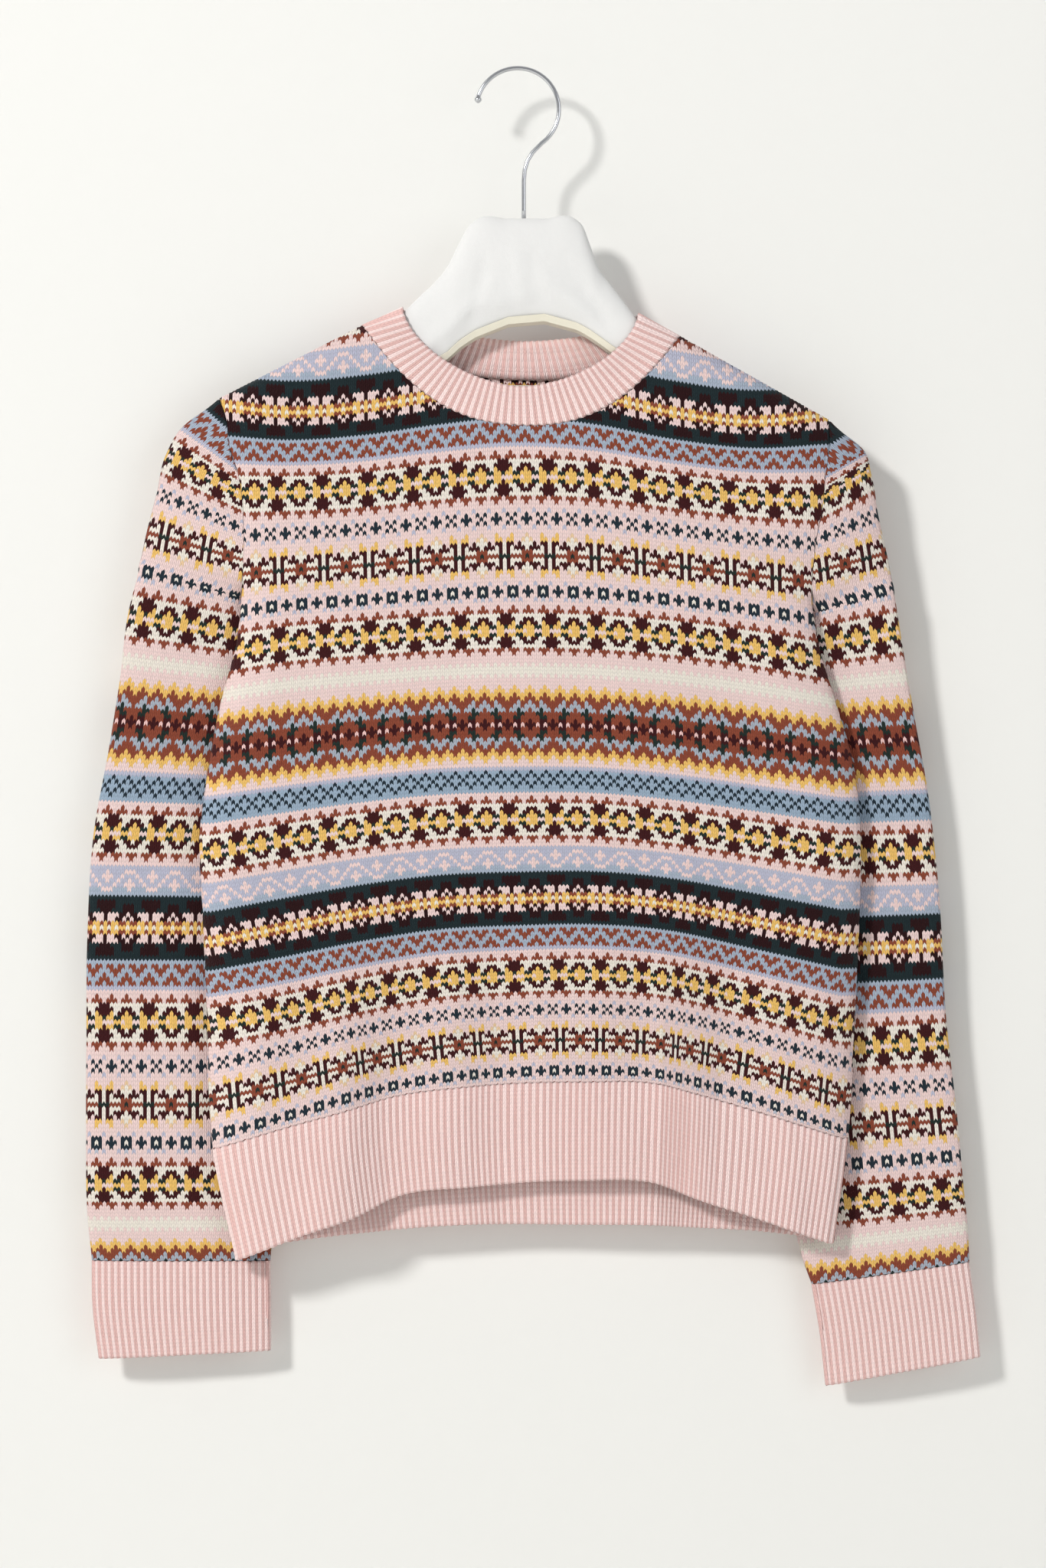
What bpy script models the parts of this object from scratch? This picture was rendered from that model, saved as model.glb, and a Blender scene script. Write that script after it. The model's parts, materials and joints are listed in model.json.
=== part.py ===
"""A stranded-knit jumper hanging on a covered clothes hanger, as one rigid object.

Units are metres, +Z is up and the front of the jumper faces -Y. The origin is the inside of the
hook's crest, where a rail carries the hanger. Every cloth piece is a wall made from one outer
surface, thickened inwards, and pieces that are sewn together stop a small gap apart.
"""

from collections import namedtuple
from math import pi, radians

import bpy
import numpy as np

COLLECTION = "fair_isle_jumper_on_hanger"

# Driving sizes.
KNIT = 0.0020
RIB = 0.0024
SEAM_GAP = 0.0003
SEAM_LIFT = 0.0008
RIB_GAP = 0.0005
NECK_GAP = 0.0006
ARMHOLE_GAP = 0.0005
SHOULDER_ROUND = 0.016
SIDE_ROUND = 0.035
ARMHOLE_OPEN = 0.008
ARMHOLE_FADE = 0.030
HANGER_Y = -0.0020

# The flattened tube of the body, from the shoulder tips down: side edges and half depths.
Section = namedtuple("Section", "z left right front back")
BODY = (
    Section(-0.214, -0.1945, 0.2030, 0.0130, 0.0090),
    Section(-0.228, -0.1898, 0.2027, 0.0130, 0.0090),
    Section(-0.245, -0.1880, 0.2028, 0.0130, 0.0090),
    Section(-0.265, -0.1818, 0.2005, 0.0132, 0.0090),
    Section(-0.285, -0.1790, 0.1985, 0.0136, 0.0090),
    Section(-0.310, -0.1785, 0.1940, 0.0140, 0.0090),
    Section(-0.340, -0.1800, 0.1920, 0.0146, 0.0088),
    Section(-0.375, -0.1838, 0.1965, 0.0150, 0.0086),
    Section(-0.410, -0.1932, 0.2068, 0.0154, 0.0086),
    Section(-0.450, -0.2010, 0.2185, 0.0156, 0.0086),
    Section(-0.500, -0.2075, 0.2240, 0.0156, 0.0086),
    Section(-0.550, -0.2056, 0.2232, 0.0154, 0.0084),
    Section(-0.620, -0.2027, 0.2200, 0.0150, 0.0080),
    Section(-0.700, -0.1995, 0.2155, 0.0144, 0.0076),
    Section(-0.776, -0.1840, 0.2050, 0.0136, 0.0072),
)

# The ridge that the cloth hangs from: shoulder tips, neck points, and its run across the neck.
Ridge = namedtuple("Ridge", "x z")
SHOULDERS = (
    Ridge(-0.1945, -0.2140),
    Ridge(-0.1016, -0.1664),
    Ridge(-0.0756, -0.1545),
    Ridge(0.0020, -0.1180),
    Ridge(0.0794, -0.1580),
    Ridge(0.1061, -0.1735),
    Ridge(0.2030, -0.2280),
)

# The hem, from left to right: top of the rib, and lower edges of the front and back ribs.
Hem = namedtuple("Hem", "x rib_top front back")
HEM = (
    Hem(-0.200, -0.7045, -0.7770, -0.7710),
    Hem(-0.150, -0.6893, -0.7592, -0.7635),
    Hem(-0.108, -0.6775, -0.7455, -0.7588),
    Hem(-0.085, -0.6705, -0.7350, -0.7565),
    Hem(-0.030, -0.6628, -0.7278, -0.7535),
    Hem(0.040, -0.6598, -0.7236, -0.7536),
    Hem(0.092, -0.6612, -0.7256, -0.7540),
    Hem(0.116, -0.6672, -0.7340, -0.7553),
    Hem(0.160, -0.6803, -0.7478, -0.7575),
    Hem(0.212, -0.6968, -0.7650, -0.7630),
)

# Underarm heights, and the soft upright folds of the front: place, start, width and reach.
UNDERARM_LEFT = -0.3395
UNDERARM_RIGHT = -0.3480
Fold = namedtuple("Fold", "x_top x_hem z_top width reach")
FRONT_FOLDS = (
    Fold(-0.082, -0.118, -0.420, 0.019, 0.0055),
    Fold(-0.060, -0.084, -0.440, 0.024, -0.0038),
    Fold(0.000, 0.005, -0.440, 0.062, -0.0055),
    Fold(0.075, 0.094, -0.440, 0.020, -0.0038),
    Fold(0.100, 0.122, -0.400, 0.017, 0.0060),
    Fold(0.175, 0.193, -0.560, 0.010, -0.0025),
)
BACK_FOLDS = (
    Fold(-0.040, -0.060, -0.440, 0.040, -0.0020),
    Fold(0.050, 0.070, -0.460, 0.036, -0.0022),
)
HEM_LEVEL = -0.740
FOLD_GROWTH = 1.5

# The neck opening: half widths and drops of the band's inner and outer edges, and the two
# exponents that give an edge its curve.
Edge = namedtuple("Edge", "x half_width z tilt front_drop back_drop bend close")
BAND_INNER = Edge(0.0019, 0.0775, -0.15625, -0.00175, 0.0516, 0.0205, 1.70, 0.588)
BAND_OUTER = Edge(0.00225, 0.10385, -0.16995, -0.00355, 0.0628, 0.0315, 2.40, 1.000)

# A sleeve's cap: where the ring that ends at a height of the armhole has its outer fold.
Cap = namedtuple("Cap", "inner_z outer_x outer_z outer_y")
CAP_LEFT = (
    Cap(-0.2150, -0.1962, -0.2156, 0.0000),
    Cap(-0.2230, -0.1990, -0.2180, 0.0000),
    Cap(-0.2340, -0.2034, -0.2214, 0.0000),
    Cap(-0.2545, -0.2158, -0.2302, 0.0004),
    Cap(-0.2776, -0.2296, -0.2508, 0.0010),
    Cap(-0.2998, -0.2356, -0.2758, 0.0020),
    Cap(-0.3201, -0.2424, -0.3017, 0.0030),
    Cap(-0.3420, -0.2478, -0.3275, 0.0042),
)
CAP_RIGHT = (
    Cap(-0.2290, 0.2048, -0.2298, 0.0000),
    Cap(-0.2340, 0.2070, -0.2322, 0.0000),
    Cap(-0.2400, 0.2106, -0.2354, 0.0000),
    Cap(-0.2608, 0.2249, -0.2469, 0.0004),
    Cap(-0.2830, 0.2309, -0.2640, 0.0010),
    Cap(-0.3070, 0.2355, -0.2904, 0.0020),
    Cap(-0.3283, 0.2411, -0.3153, 0.0030),
    Cap(-0.3515, 0.2462, -0.3420, 0.0042),
)

# The sleeves' tubes and cuffs below the underarm: the outer fold, the inner fold, half depth.
Ring = namedtuple("Ring", "outer_x outer_z outer_y inner_x inner_z inner_y half")
SLEEVE_LEFT = (
    Ring(-0.2480, -0.3280, 0.0042, -0.1812, -0.3440, 0.0082, 0.0068),
    Ring(-0.2550, -0.3560, 0.0062, -0.1690, -0.3700, 0.0140, 0.0070),
    Ring(-0.2600, -0.3950, 0.0085, -0.1560, -0.4060, 0.0176, 0.0070),
    Ring(-0.2672, -0.4400, 0.0104, -0.1500, -0.4470, 0.0184, 0.0070),
    Ring(-0.2780, -0.5000, 0.0116, -0.1490, -0.5030, 0.0186, 0.0070),
    Ring(-0.2818, -0.5600, 0.0120, -0.1500, -0.5610, 0.0184, 0.0068),
    Ring(-0.2826, -0.6300, 0.0120, -0.1530, -0.6300, 0.0182, 0.0066),
    Ring(-0.2828, -0.7000, 0.0120, -0.1570, -0.7000, 0.0180, 0.0066),
    Ring(-0.2822, -0.7440, 0.0120, -0.1595, -0.7440, 0.0176, 0.0066),
    Ring(-0.2790, -0.7780, 0.0122, -0.1625, -0.7785, 0.0168, 0.0062),
)
CUFF_LEFT = (
    Ring(-0.2790, -0.7783, 0.0122, -0.1625, -0.7788, 0.0168, 0.0062),
    Ring(-0.2785, -0.8080, 0.0124, -0.1620, -0.8080, 0.0162, 0.0060),
    Ring(-0.2745, -0.8420, 0.0128, -0.1620, -0.8370, 0.0158, 0.0060),
)
SLEEVE_RIGHT = (
    Ring(0.2462, -0.3420, 0.0042, 0.1938, -0.3540, 0.0082, 0.0068),
    Ring(0.2508, -0.3700, 0.0062, 0.1820, -0.3800, 0.0140, 0.0070),
    Ring(0.2590, -0.4180, 0.0085, 0.1690, -0.4240, 0.0176, 0.0070),
    Ring(0.2690, -0.4740, 0.0104, 0.1640, -0.4780, 0.0184, 0.0070),
    Ring(0.2764, -0.5430, 0.0116, 0.1640, -0.5470, 0.0186, 0.0070),
    Ring(0.2808, -0.6200, 0.0120, 0.1680, -0.6260, 0.0184, 0.0068),
    Ring(0.2880, -0.6840, 0.0120, 0.1730, -0.6920, 0.0182, 0.0066),
    Ring(0.2922, -0.7300, 0.0120, 0.1800, -0.7400, 0.0178, 0.0066),
    Ring(0.2952, -0.7600, 0.0122, 0.1860, -0.7740, 0.0172, 0.0064),
    Ring(0.2960, -0.7790, 0.0122, 0.1930, -0.7940, 0.0166, 0.0062),
)
CUFF_RIGHT = (
    Ring(0.2960, -0.7793, 0.0122, 0.1930, -0.7943, 0.0166, 0.0062),
    Ring(0.3000, -0.8080, 0.0124, 0.1980, -0.8240, 0.0160, 0.0060),
    Ring(0.3035, -0.8410, 0.0128, 0.2020, -0.8600, 0.0156, 0.0060),
)
TUBE_POWER = 2.6
CAP_POWER = 2.0

# The covered hanger, from tip to tip: upper edge, lower edge and half thickness.
Station = namedtuple("Station", "x top bottom half")
HANGER = (
    Station(-0.1840, -0.2190, -0.2300, 0.0022),
    Station(-0.1780, -0.2132, -0.2345, 0.0040),
    Station(-0.1500, -0.1962, -0.2310, 0.0056),
    Station(-0.1100, -0.1751, -0.2200, 0.0070),
    Station(-0.0760, -0.1594, -0.2060, 0.0078),
    Station(-0.0640, -0.1480, -0.1990, 0.0080),
    Station(-0.0540, -0.1385, -0.1940, 0.0082),
    Station(-0.0455, -0.1280, -0.1890, 0.0086),
    Station(-0.0380, -0.1130, -0.1820, 0.0090),
    Station(-0.0320, -0.1020, -0.1778, 0.0092),
    Station(-0.0270, -0.0978, -0.1748, 0.0094),
    Station(-0.0060, -0.0970, -0.1665, 0.0096),
    Station(0.0175, -0.0970, -0.1645, 0.0096),
    Station(0.0380, -0.0976, -0.1700, 0.0094),
    Station(0.0425, -0.1020, -0.1722, 0.0092),
    Station(0.0475, -0.1150, -0.1752, 0.0090),
    Station(0.0530, -0.1295, -0.1790, 0.0086),
    Station(0.0610, -0.1405, -0.1848, 0.0082),
    Station(0.0690, -0.1510, -0.1900, 0.0080),
    Station(0.0785, -0.1632, -0.1960, 0.0078),
    Station(0.1200, -0.1860, -0.2200, 0.0070),
    Station(0.1600, -0.2086, -0.2380, 0.0056),
    Station(0.1870, -0.2264, -0.2440, 0.0040),
    Station(0.1930, -0.2320, -0.2400, 0.0022),
)
HANGER_SIDES = 12
HANGER_POWER = 2.4
BINDING_CLEAR = 0.0006
BINDING_THICK = 0.0010
BINDING_HEIGHT = 0.0045
BINDING_TURN = 0.82

# The hook's wire: its bow, the bend below it, and the stem that ends in the hanger's top.
WIRE_RADIUS = 0.0015
HOOK_RADIUS = 0.0270
BOW_ANGLES = range(162, -56, -9)
Bend = namedtuple("Bend", "x z")
HOOK_BENDS = (
    Bend(0.0098, -0.0535),
    Bend(0.0064, -0.0590),
    Bend(0.0046, -0.0650),
)
STEM_X = 0.0040
STEM_HEIGHTS = (-0.0720, -0.0810, -0.0900)
STEM_REACH = 0.0150
BALL_RADII = (0.6, 1.25, 1.6, 1.6, 1.2)
BALL_STEP_X = 0.0001
BALL_STEP_Z = 0.0011

# The blank label inside the back neck.
LABEL_LEFT = -0.0210
LABEL_RIGHT = 0.0280
LABEL_TOP = -0.2050
LABEL_HEIGHT = 0.0240
LABEL_THICK = 0.0006

# How finely the surfaces are cut into faces.
ROUNDED_STEPS = (0.0, 8.0, 24.0, 50.0, 90.0)
CAP_FIRST_ROW = 2
NECK_STEPS = (0, 4, 9, 15, 23, 36, 52, 70, 90, 110, 128, 144, 157, 165, 171, 176)
ARMHOLE_SHARES = (0.032, 0.068, 0.106, 0.149, 0.191, 0.238)
BODY_SHARES = (0.300, 0.370, 0.450, 0.530, 0.610, 0.690, 0.770, 0.850, 0.930, 1.0)
RIB_ROWS = 3
BAND_ROWS = 2
SLEEVE_STEPS = 18


def along(rows, key, value, at):
    """A smooth curve through a table: one named column over another, held level past its ends."""
    keys = np.array([getattr(row, key) for row in rows], float)
    values = np.array([getattr(row, value) for row in rows], float)
    order = np.argsort(keys)
    keys, values = keys[order], values[order]
    slopes = np.gradient(values, keys)
    at = np.clip(np.asarray(at, float), keys[0], keys[-1])
    place = np.clip(np.searchsorted(keys, at) - 1, 0, len(keys) - 2)
    span = keys[place + 1] - keys[place]
    t = (at - keys[place]) / span
    start = (1 + 2 * t) * (1 - t) ** 2 * values[place] + t * (1 - t) ** 2 * span * slopes[place]
    end = t**2 * (3 - 2 * t) * values[place + 1] - t**2 * (1 - t) * span * slopes[place + 1]
    return start + end


def ridge(x):
    """Height of the line that the cloth hangs from."""
    return np.interp(x, [row.x for row in SHOULDERS], [row.z for row in SHOULDERS])


def quarter(t):
    """A quarter round, from nothing at 0 to full at 1."""
    return np.sqrt(1 - (1 - np.clip(t, 0, 1)) ** 2)


def opened(z, underarm):
    """How far the armhole holds the side edges apart, fading out down to the underarm."""
    return ARMHOLE_OPEN * np.clip((z - underarm) / ARMHOLE_FADE, 0, 1)


def fullness(x, z):
    """Share of the half depth that the body has at a place: nothing at its ridge and side seams."""
    from_left = x - along(BODY, "z", "left", z) + opened(z, UNDERARM_LEFT)
    from_right = along(BODY, "z", "right", z) - x + opened(z, UNDERARM_RIGHT)
    sides = quarter(from_left / SIDE_ROUND) * quarter(from_right / SIDE_ROUND)
    return sides * quarter((ridge(x) - z) / SHOULDER_ROUND)


def folded(folds, x, z):
    """How far the upright folds stand out at a place."""
    total = 0.0
    for fold in folds:
        down = np.clip((fold.z_top - z) / (fold.z_top - HEM_LEVEL), 0, 1)
        middle = fold.x_top + (fold.x_hem - fold.x_top) * down
        total = total + fold.reach * down**FOLD_GROWTH * np.exp(-(((x - middle) / fold.width) ** 2))
    return total


def front_y(x, z):
    """Outer surface of the front."""
    share = fullness(x, z)
    return -SEAM_LIFT - share * (along(BODY, "z", "front", z) + folded(FRONT_FOLDS, x, z))


def back_y(x, z):
    """Outer surface of the back."""
    share = fullness(x, z)
    return SEAM_LIFT + share * (along(BODY, "z", "back", z) + folded(BACK_FOLDS, x, z))


def neck_edge(edge, angle, drop):
    """A point of the neck's edge: angle 0 at the left neck point, pi at the right one."""
    across = -np.cos(angle)
    down = np.clip(1 - np.abs(across) ** edge.bend, 0, 1) ** edge.close
    x = edge.x + edge.half_width * across
    return x, edge.z + edge.tilt * across - drop * down


def panel_neck():
    """The panels' edge round the neck: the band's outer edge, moved out by the gap between them."""
    return BAND_OUTER._replace(
        half_width=BAND_OUTER.half_width + NECK_GAP,
        front_drop=BAND_OUTER.front_drop + NECK_GAP,
        back_drop=BAND_OUTER.back_drop + NECK_GAP,
    )


def panel_tops(side):
    """Upper ends of a panel's columns: side rounding, shoulder seams and the neck between them."""
    edge = panel_neck()
    drop = edge.front_drop if side == "front" else edge.back_drop
    angles = [radians(step) for step in (*NECK_STEPS, 180.0)]
    neck = [tuple(float(part) for part in neck_edge(edge, angle, drop)) for angle in angles]
    left_tip, right_tip = SHOULDERS[0].x, SHOULDERS[-1].x
    in_from_edge = [SIDE_ROUND * (1 - np.cos(radians(step))) for step in ROUNDED_STEPS]
    left = [left_tip + inset for inset in in_from_edge]
    left.append((left[-1] + neck[0][0]) / 2)
    right = [right_tip - inset for inset in in_from_edge]
    right.append((right[-1] + neck[-1][0]) / 2)
    shoulder_left = [(x, float(ridge(x))) for x in left]
    shoulder_right = [(x, float(ridge(x))) for x in reversed(right)]
    neck[0] = (neck[0][0], float(ridge(neck[0][0])))
    neck[-1] = (neck[-1][0], float(ridge(neck[-1][0])))
    return shoulder_left + neck + shoulder_right


def body_share(x, z):
    left = along(BODY, "z", "left", z)
    return (x - left) / (along(BODY, "z", "right", z) - left)


def body_x(share, z):
    left = along(BODY, "z", "left", z)
    return left + (along(BODY, "z", "right", z) - left) * share


def row_heights(top, bottom):
    """Heights of a column's rows: close together over the ridge, then down to the rib."""
    rounded = [top - SHOULDER_ROUND * (1 - np.cos(radians(step))) for step in ROUNDED_STEPS]
    length = bottom - rounded[-1]
    return rounded + [rounded[-1] + length * share for share in (*ARMHOLE_SHARES, *BODY_SHARES)]


def panel_shares(side):
    """Places of the columns between the side edges, and their upper ends' heights."""
    tops = panel_tops(side)
    shares = [float(body_share(x, z)) for x, z in tops]
    shares[0], shares[-1] = 0.0, 1.0
    return list(zip(shares, [z for _, z in tops]))


def panel_grid(side):
    """Rows of points of a body panel, from its upper edge to the rib."""
    surface = front_y if side == "front" else back_y
    columns = []
    for share, top in panel_shares(side):
        bottom = float(along(HEM, "x", "rib_top", body_x(share, HEM_LEVEL))) + RIB_GAP
        heights = row_heights(top, bottom)
        columns.append([(body_x(share, z), surface(body_x(share, z), z), z) for z in heights])
    return [list(row) for row in zip(*columns)]


def hem_grid(side):
    """Rows of points of a hem rib, from the panel down to its lower edge."""
    surface = front_y if side == "front" else back_y
    rows = []
    for step in range(RIB_ROWS + 1):
        row = []
        for share, _ in panel_shares(side):
            level_x = body_x(share, HEM_LEVEL)
            top = float(along(HEM, "x", "rib_top", level_x))
            bottom = float(along(HEM, "x", side, level_x))
            z = top + (bottom - top) * step / RIB_ROWS
            x = body_x(share, z)
            row.append((x, surface(x, z), z))
        rows.append(row)
    return rows


def band_grid():
    """Rings of points of the neckband, from the panels' edges to the neck opening."""
    front = [(radians(step), "front_drop", front_y) for step in NECK_STEPS]
    back = [(radians(180.0 - step), "back_drop", back_y) for step in NECK_STEPS]
    rings = []
    for step in range(BAND_ROWS + 1):
        share = step / BAND_ROWS
        ring = []
        for angle, drop, surface in front + back:
            outer = neck_edge(BAND_OUTER, angle, getattr(BAND_OUTER, drop))
            inner = neck_edge(BAND_INNER, angle, getattr(BAND_INNER, drop))
            x = outer[0] + (inner[0] - outer[0]) * share
            z = outer[1] + (inner[1] - outer[1]) * share
            ring.append((x, surface(x, min(z, ridge(x))), z))
        rings.append(ring)
    return rings


def flattened(turn, power):
    """A flattened tube's section: place across from the outer fold, and depth, for a turn."""
    angle = pi * abs(turn)
    across = np.sign(np.cos(angle)) * abs(np.cos(angle)) ** (2 / power)
    return (1 - across) / 2, np.sign(turn) * abs(np.sin(angle)) ** (2 / power)


def tube_ring(row):
    """A closed ring of a sleeve or cuff, from its inner fold over the front and round."""
    points = []
    for step in range(SLEEVE_STEPS):
        across, depth = flattened(2 * step / SLEEVE_STEPS - 1, TUBE_POWER)
        x = row.outer_x + (row.inner_x - row.outer_x) * across
        y = row.outer_y + (row.inner_y - row.outer_y) * across + depth * row.half
        z = row.outer_z + (row.inner_z - row.outer_z) * across
        points.append((x, y, z))
    return points


def cap_ring(cap, edge_x, z, outwards):
    """An open ring of a sleeve's cap, from the front of the armhole to its back."""
    outer_x, outer_z, outer_y = (along(cap, "inner_z", name, z) for name in Cap._fields[1:])
    points = []
    for step in range(SLEEVE_STEPS + 1):
        turn = step / SLEEVE_STEPS - 0.5
        across, depth = flattened(turn, CAP_POWER)
        seam = (front_y if turn < 0 else back_y)(edge_x, z)
        inner_x = edge_x + outwards * ARMHOLE_GAP
        x = outer_x + (inner_x - outer_x) * 2 * across
        y = outer_y * (1 - 2 * across) + seam * abs(depth)
        points.append((x, y, outer_z + (z - outer_z) * 2 * across))
    return points


def cap_rings(cap, share, outwards):
    """The cap's rings, one for each row that the body panels have beside the armhole."""
    top = dict((s, z) for s, z in panel_shares("front"))[share]
    bottom = float(along(HEM, "x", "rib_top", body_x(share, HEM_LEVEL))) + RIB_GAP
    heights = row_heights(top, bottom)
    beside = heights[CAP_FIRST_ROW : len(ROUNDED_STEPS) + len(ARMHOLE_SHARES) - 1]
    return [cap_ring(cap, float(body_x(share, z)), z, outwards) for z in beside]


def hanger_ring(station):
    """One ring of the hanger's form, from its lower front round by its top."""
    middle = (station.top + station.bottom) / 2
    height = (station.top - station.bottom) / 2
    ring = []
    for side in range(HANGER_SIDES):
        angle = 2 * pi * (side + 0.5) / HANGER_SIDES - pi / 2
        up = np.sign(np.sin(angle)) * abs(np.sin(angle)) ** (2 / HANGER_POWER)
        out = np.sign(np.cos(angle)) * abs(np.cos(angle)) ** (2 / HANGER_POWER)
        ring.append((station.x, HANGER_Y - out * station.half, middle + up * height))
    return ring


def binding_row(station):
    """The binding's outer face across one station: up the front, under the edge, up the back."""
    proud = BINDING_CLEAR + BINDING_THICK
    height = (station.top - station.bottom) / 2
    low = station.bottom - proud
    top = station.bottom + BINDING_HEIGHT
    up = 1 - BINDING_HEIGHT / height
    wide = station.half * (1 - up**HANGER_POWER) ** (1 / HANGER_POWER) + proud
    turn = wide * BINDING_TURN
    heights = ((-wide, top), (-turn, low + proud), (0.0, low), (turn, low + proud), (wide, top))
    return [(station.x, HANGER_Y + y, z) for y, z in heights]


def make_material(name, color, roughness, metallic=0.0):
    material = bpy.data.materials.new(name)
    material.use_nodes = True
    shader = material.node_tree.nodes["Principled BSDF"]
    shader.inputs["Base Color"].default_value = (*color, 1)
    shader.inputs["Roughness"].default_value = roughness
    shader.inputs["Metallic"].default_value = metallic
    return material


def add_mesh(name, points, faces, material):
    mesh = bpy.data.meshes.new(name)
    mesh.from_pydata(points, [], faces)
    mesh.shade_smooth()
    mesh.materials.append(material)
    item = bpy.data.objects.new(name, mesh)
    bpy.data.collections[COLLECTION].objects.link(item)
    return item


def thicken(item, thickness):
    """Gives an open surface its wall, inwards from the surface."""
    wall = item.modifiers.new("wall", "SOLIDIFY")
    wall.thickness = thickness
    wall.offset = -1
    wall.use_rim = True


def grid_faces(counts, closed):
    """Faces between rows of points. Rows join up at their ends where the grid is closed."""
    faces = []
    start = 0
    for upper_count, lower_count in zip(counts, counts[1:]):
        lower = start + upper_count
        steps = max(upper_count, lower_count)
        for column in range(steps if closed else steps - 1):
            after = column + 1
            faces.append(
                (
                    start + column % upper_count,
                    lower + column % lower_count,
                    lower + after % lower_count,
                    start + after % upper_count,
                )
            )
        start = lower
    return faces


def add_wall(name, grid, thickness, material, turned=False, closed=False):
    """A cloth wall through a grid of points, its outer face on them."""
    faces = grid_faces([len(row) for row in grid], closed)
    if turned:
        faces = [tuple(reversed(face)) for face in faces]
    item = add_mesh(name, [point for row in grid for point in row], faces, material)
    thicken(item, thickness)


def add_body_panels(knit):
    add_wall("front_panel", panel_grid("front"), KNIT, knit)
    add_wall("back_panel", panel_grid("back"), KNIT, knit, turned=True)


def add_ribs(rib):
    add_wall("hem_rib_front", hem_grid("front"), RIB, rib)
    add_wall("hem_rib_back", hem_grid("back"), RIB, rib, turned=True)
    add_wall("neckband", band_grid(), RIB, rib, turned=True, closed=True)
    cuff_left = [tube_ring(row) for row in CUFF_LEFT]
    add_wall("cuff_left", cuff_left, RIB, rib, turned=True, closed=True)
    cuff_right = [tube_ring(row) for row in CUFF_RIGHT]
    add_wall("cuff_right", cuff_right, RIB, rib, closed=True)


def add_sleeves(knit):
    """Each sleeve: open rings round its cap, which meet at the underarm, then its tube's rings."""
    left = cap_rings(CAP_LEFT, 0.0, -1) + [tube_ring(row) for row in SLEEVE_LEFT]
    add_sleeve("sleeve_left", left, knit, turned=True)
    right = cap_rings(CAP_RIGHT, 1.0, 1) + [tube_ring(row) for row in SLEEVE_RIGHT]
    add_sleeve("sleeve_right", right, knit, turned=False)


def add_sleeve(name, grid, material, turned):
    """Open and closed rings in one wall: a closed ring's first point is also its last."""
    faces = []
    start = 0
    for upper, lower in zip(grid, grid[1:]):
        after = start + len(upper)
        for column in range(SLEEVE_STEPS):
            following = column + 1
            face = (
                start + column,
                after + column,
                after + following % len(lower),
                start + following % len(upper),
            )
            faces.append(tuple(reversed(face)) if turned else face)
        start = after
    item = add_mesh(name, [point for ring in grid for point in ring], faces, material)
    thicken(item, KNIT)


def add_neck_label(tape):
    """A blank strip on the inner face of the back panel, made from that panel's surface."""
    grid = []
    for z in (LABEL_TOP, LABEL_TOP - LABEL_HEIGHT / 2, LABEL_TOP - LABEL_HEIGHT):
        middle = (LABEL_LEFT + LABEL_RIGHT) / 2
        across = (LABEL_LEFT, middle, LABEL_RIGHT)
        grid.append([(x, back_y(x, z) - KNIT - SEAM_GAP, z) for x in across])
    add_wall("neck_label", grid, LABEL_THICK, tape, turned=True)


def add_hanger_body(cover):
    """The covered shoulder form: rings from tip to tip, closed at both ends."""
    rings = [hanger_ring(station) for station in HANGER]
    faces = grid_faces([HANGER_SIDES] * len(rings), closed=True)
    last = (len(rings) - 1) * HANGER_SIDES
    faces.append(tuple(range(HANGER_SIDES)))
    faces.append(tuple(last + side for side in reversed(range(HANGER_SIDES))))
    add_mesh("hanger_body", [point for ring in rings for point in ring], faces, cover)


def add_hanger_binding(tape):
    """The hanger cover's bound hem, a strip that wraps its lower edge."""
    grid = [binding_row(station) for station in HANGER[2:-2]]
    add_wall("hanger_binding", grid, BINDING_THICK, tape, turned=True)


def hook_points():
    """The wire's centre line, from the tip over the crest to the foot of the stem."""
    centre = WIRE_RADIUS - HOOK_RADIUS
    bow = [radians(step) for step in BOW_ANGLES]
    points = [(HOOK_RADIUS * np.cos(a), centre + HOOK_RADIUS * np.sin(a)) for a in bow]
    points += [(bend.x, bend.z) for bend in HOOK_BENDS]
    beside = [station for station in HANGER if abs(station.x - STEM_X) < STEM_REACH]
    block_top = max(point[2] for station in beside for point in hanger_ring(station))
    return points + [(STEM_X, z) for z in (*STEM_HEIGHTS, block_top + SEAM_GAP)]


def add_hook(steel):
    """The hook: bent wire with a small ball at its tip."""
    path = hook_points()
    curve = bpy.data.curves.new("hanger_hook", "CURVE")
    curve.dimensions = "3D"
    curve.bevel_depth = WIRE_RADIUS
    curve.bevel_resolution = 2
    curve.use_fill_caps = True
    wire = curve.splines.new("POLY")
    tip_x, tip_z = path[0]
    steps = reversed(range(len(BALL_RADII)))
    line = [(tip_x - BALL_STEP_X * step, tip_z - BALL_STEP_Z * step) for step in steps]
    line += path[1:]
    wire.points.add(len(line) - 1)
    for index, (point, (x, z)) in enumerate(zip(wire.points, line)):
        point.co = (x, 0.0, z, 1)
        point.radius = BALL_RADII[index] if index < len(BALL_RADII) else 1.0
    curve.materials.append(steel)
    item = bpy.data.objects.new("hanger_hook", curve)
    bpy.data.collections[COLLECTION].objects.link(item)


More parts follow.
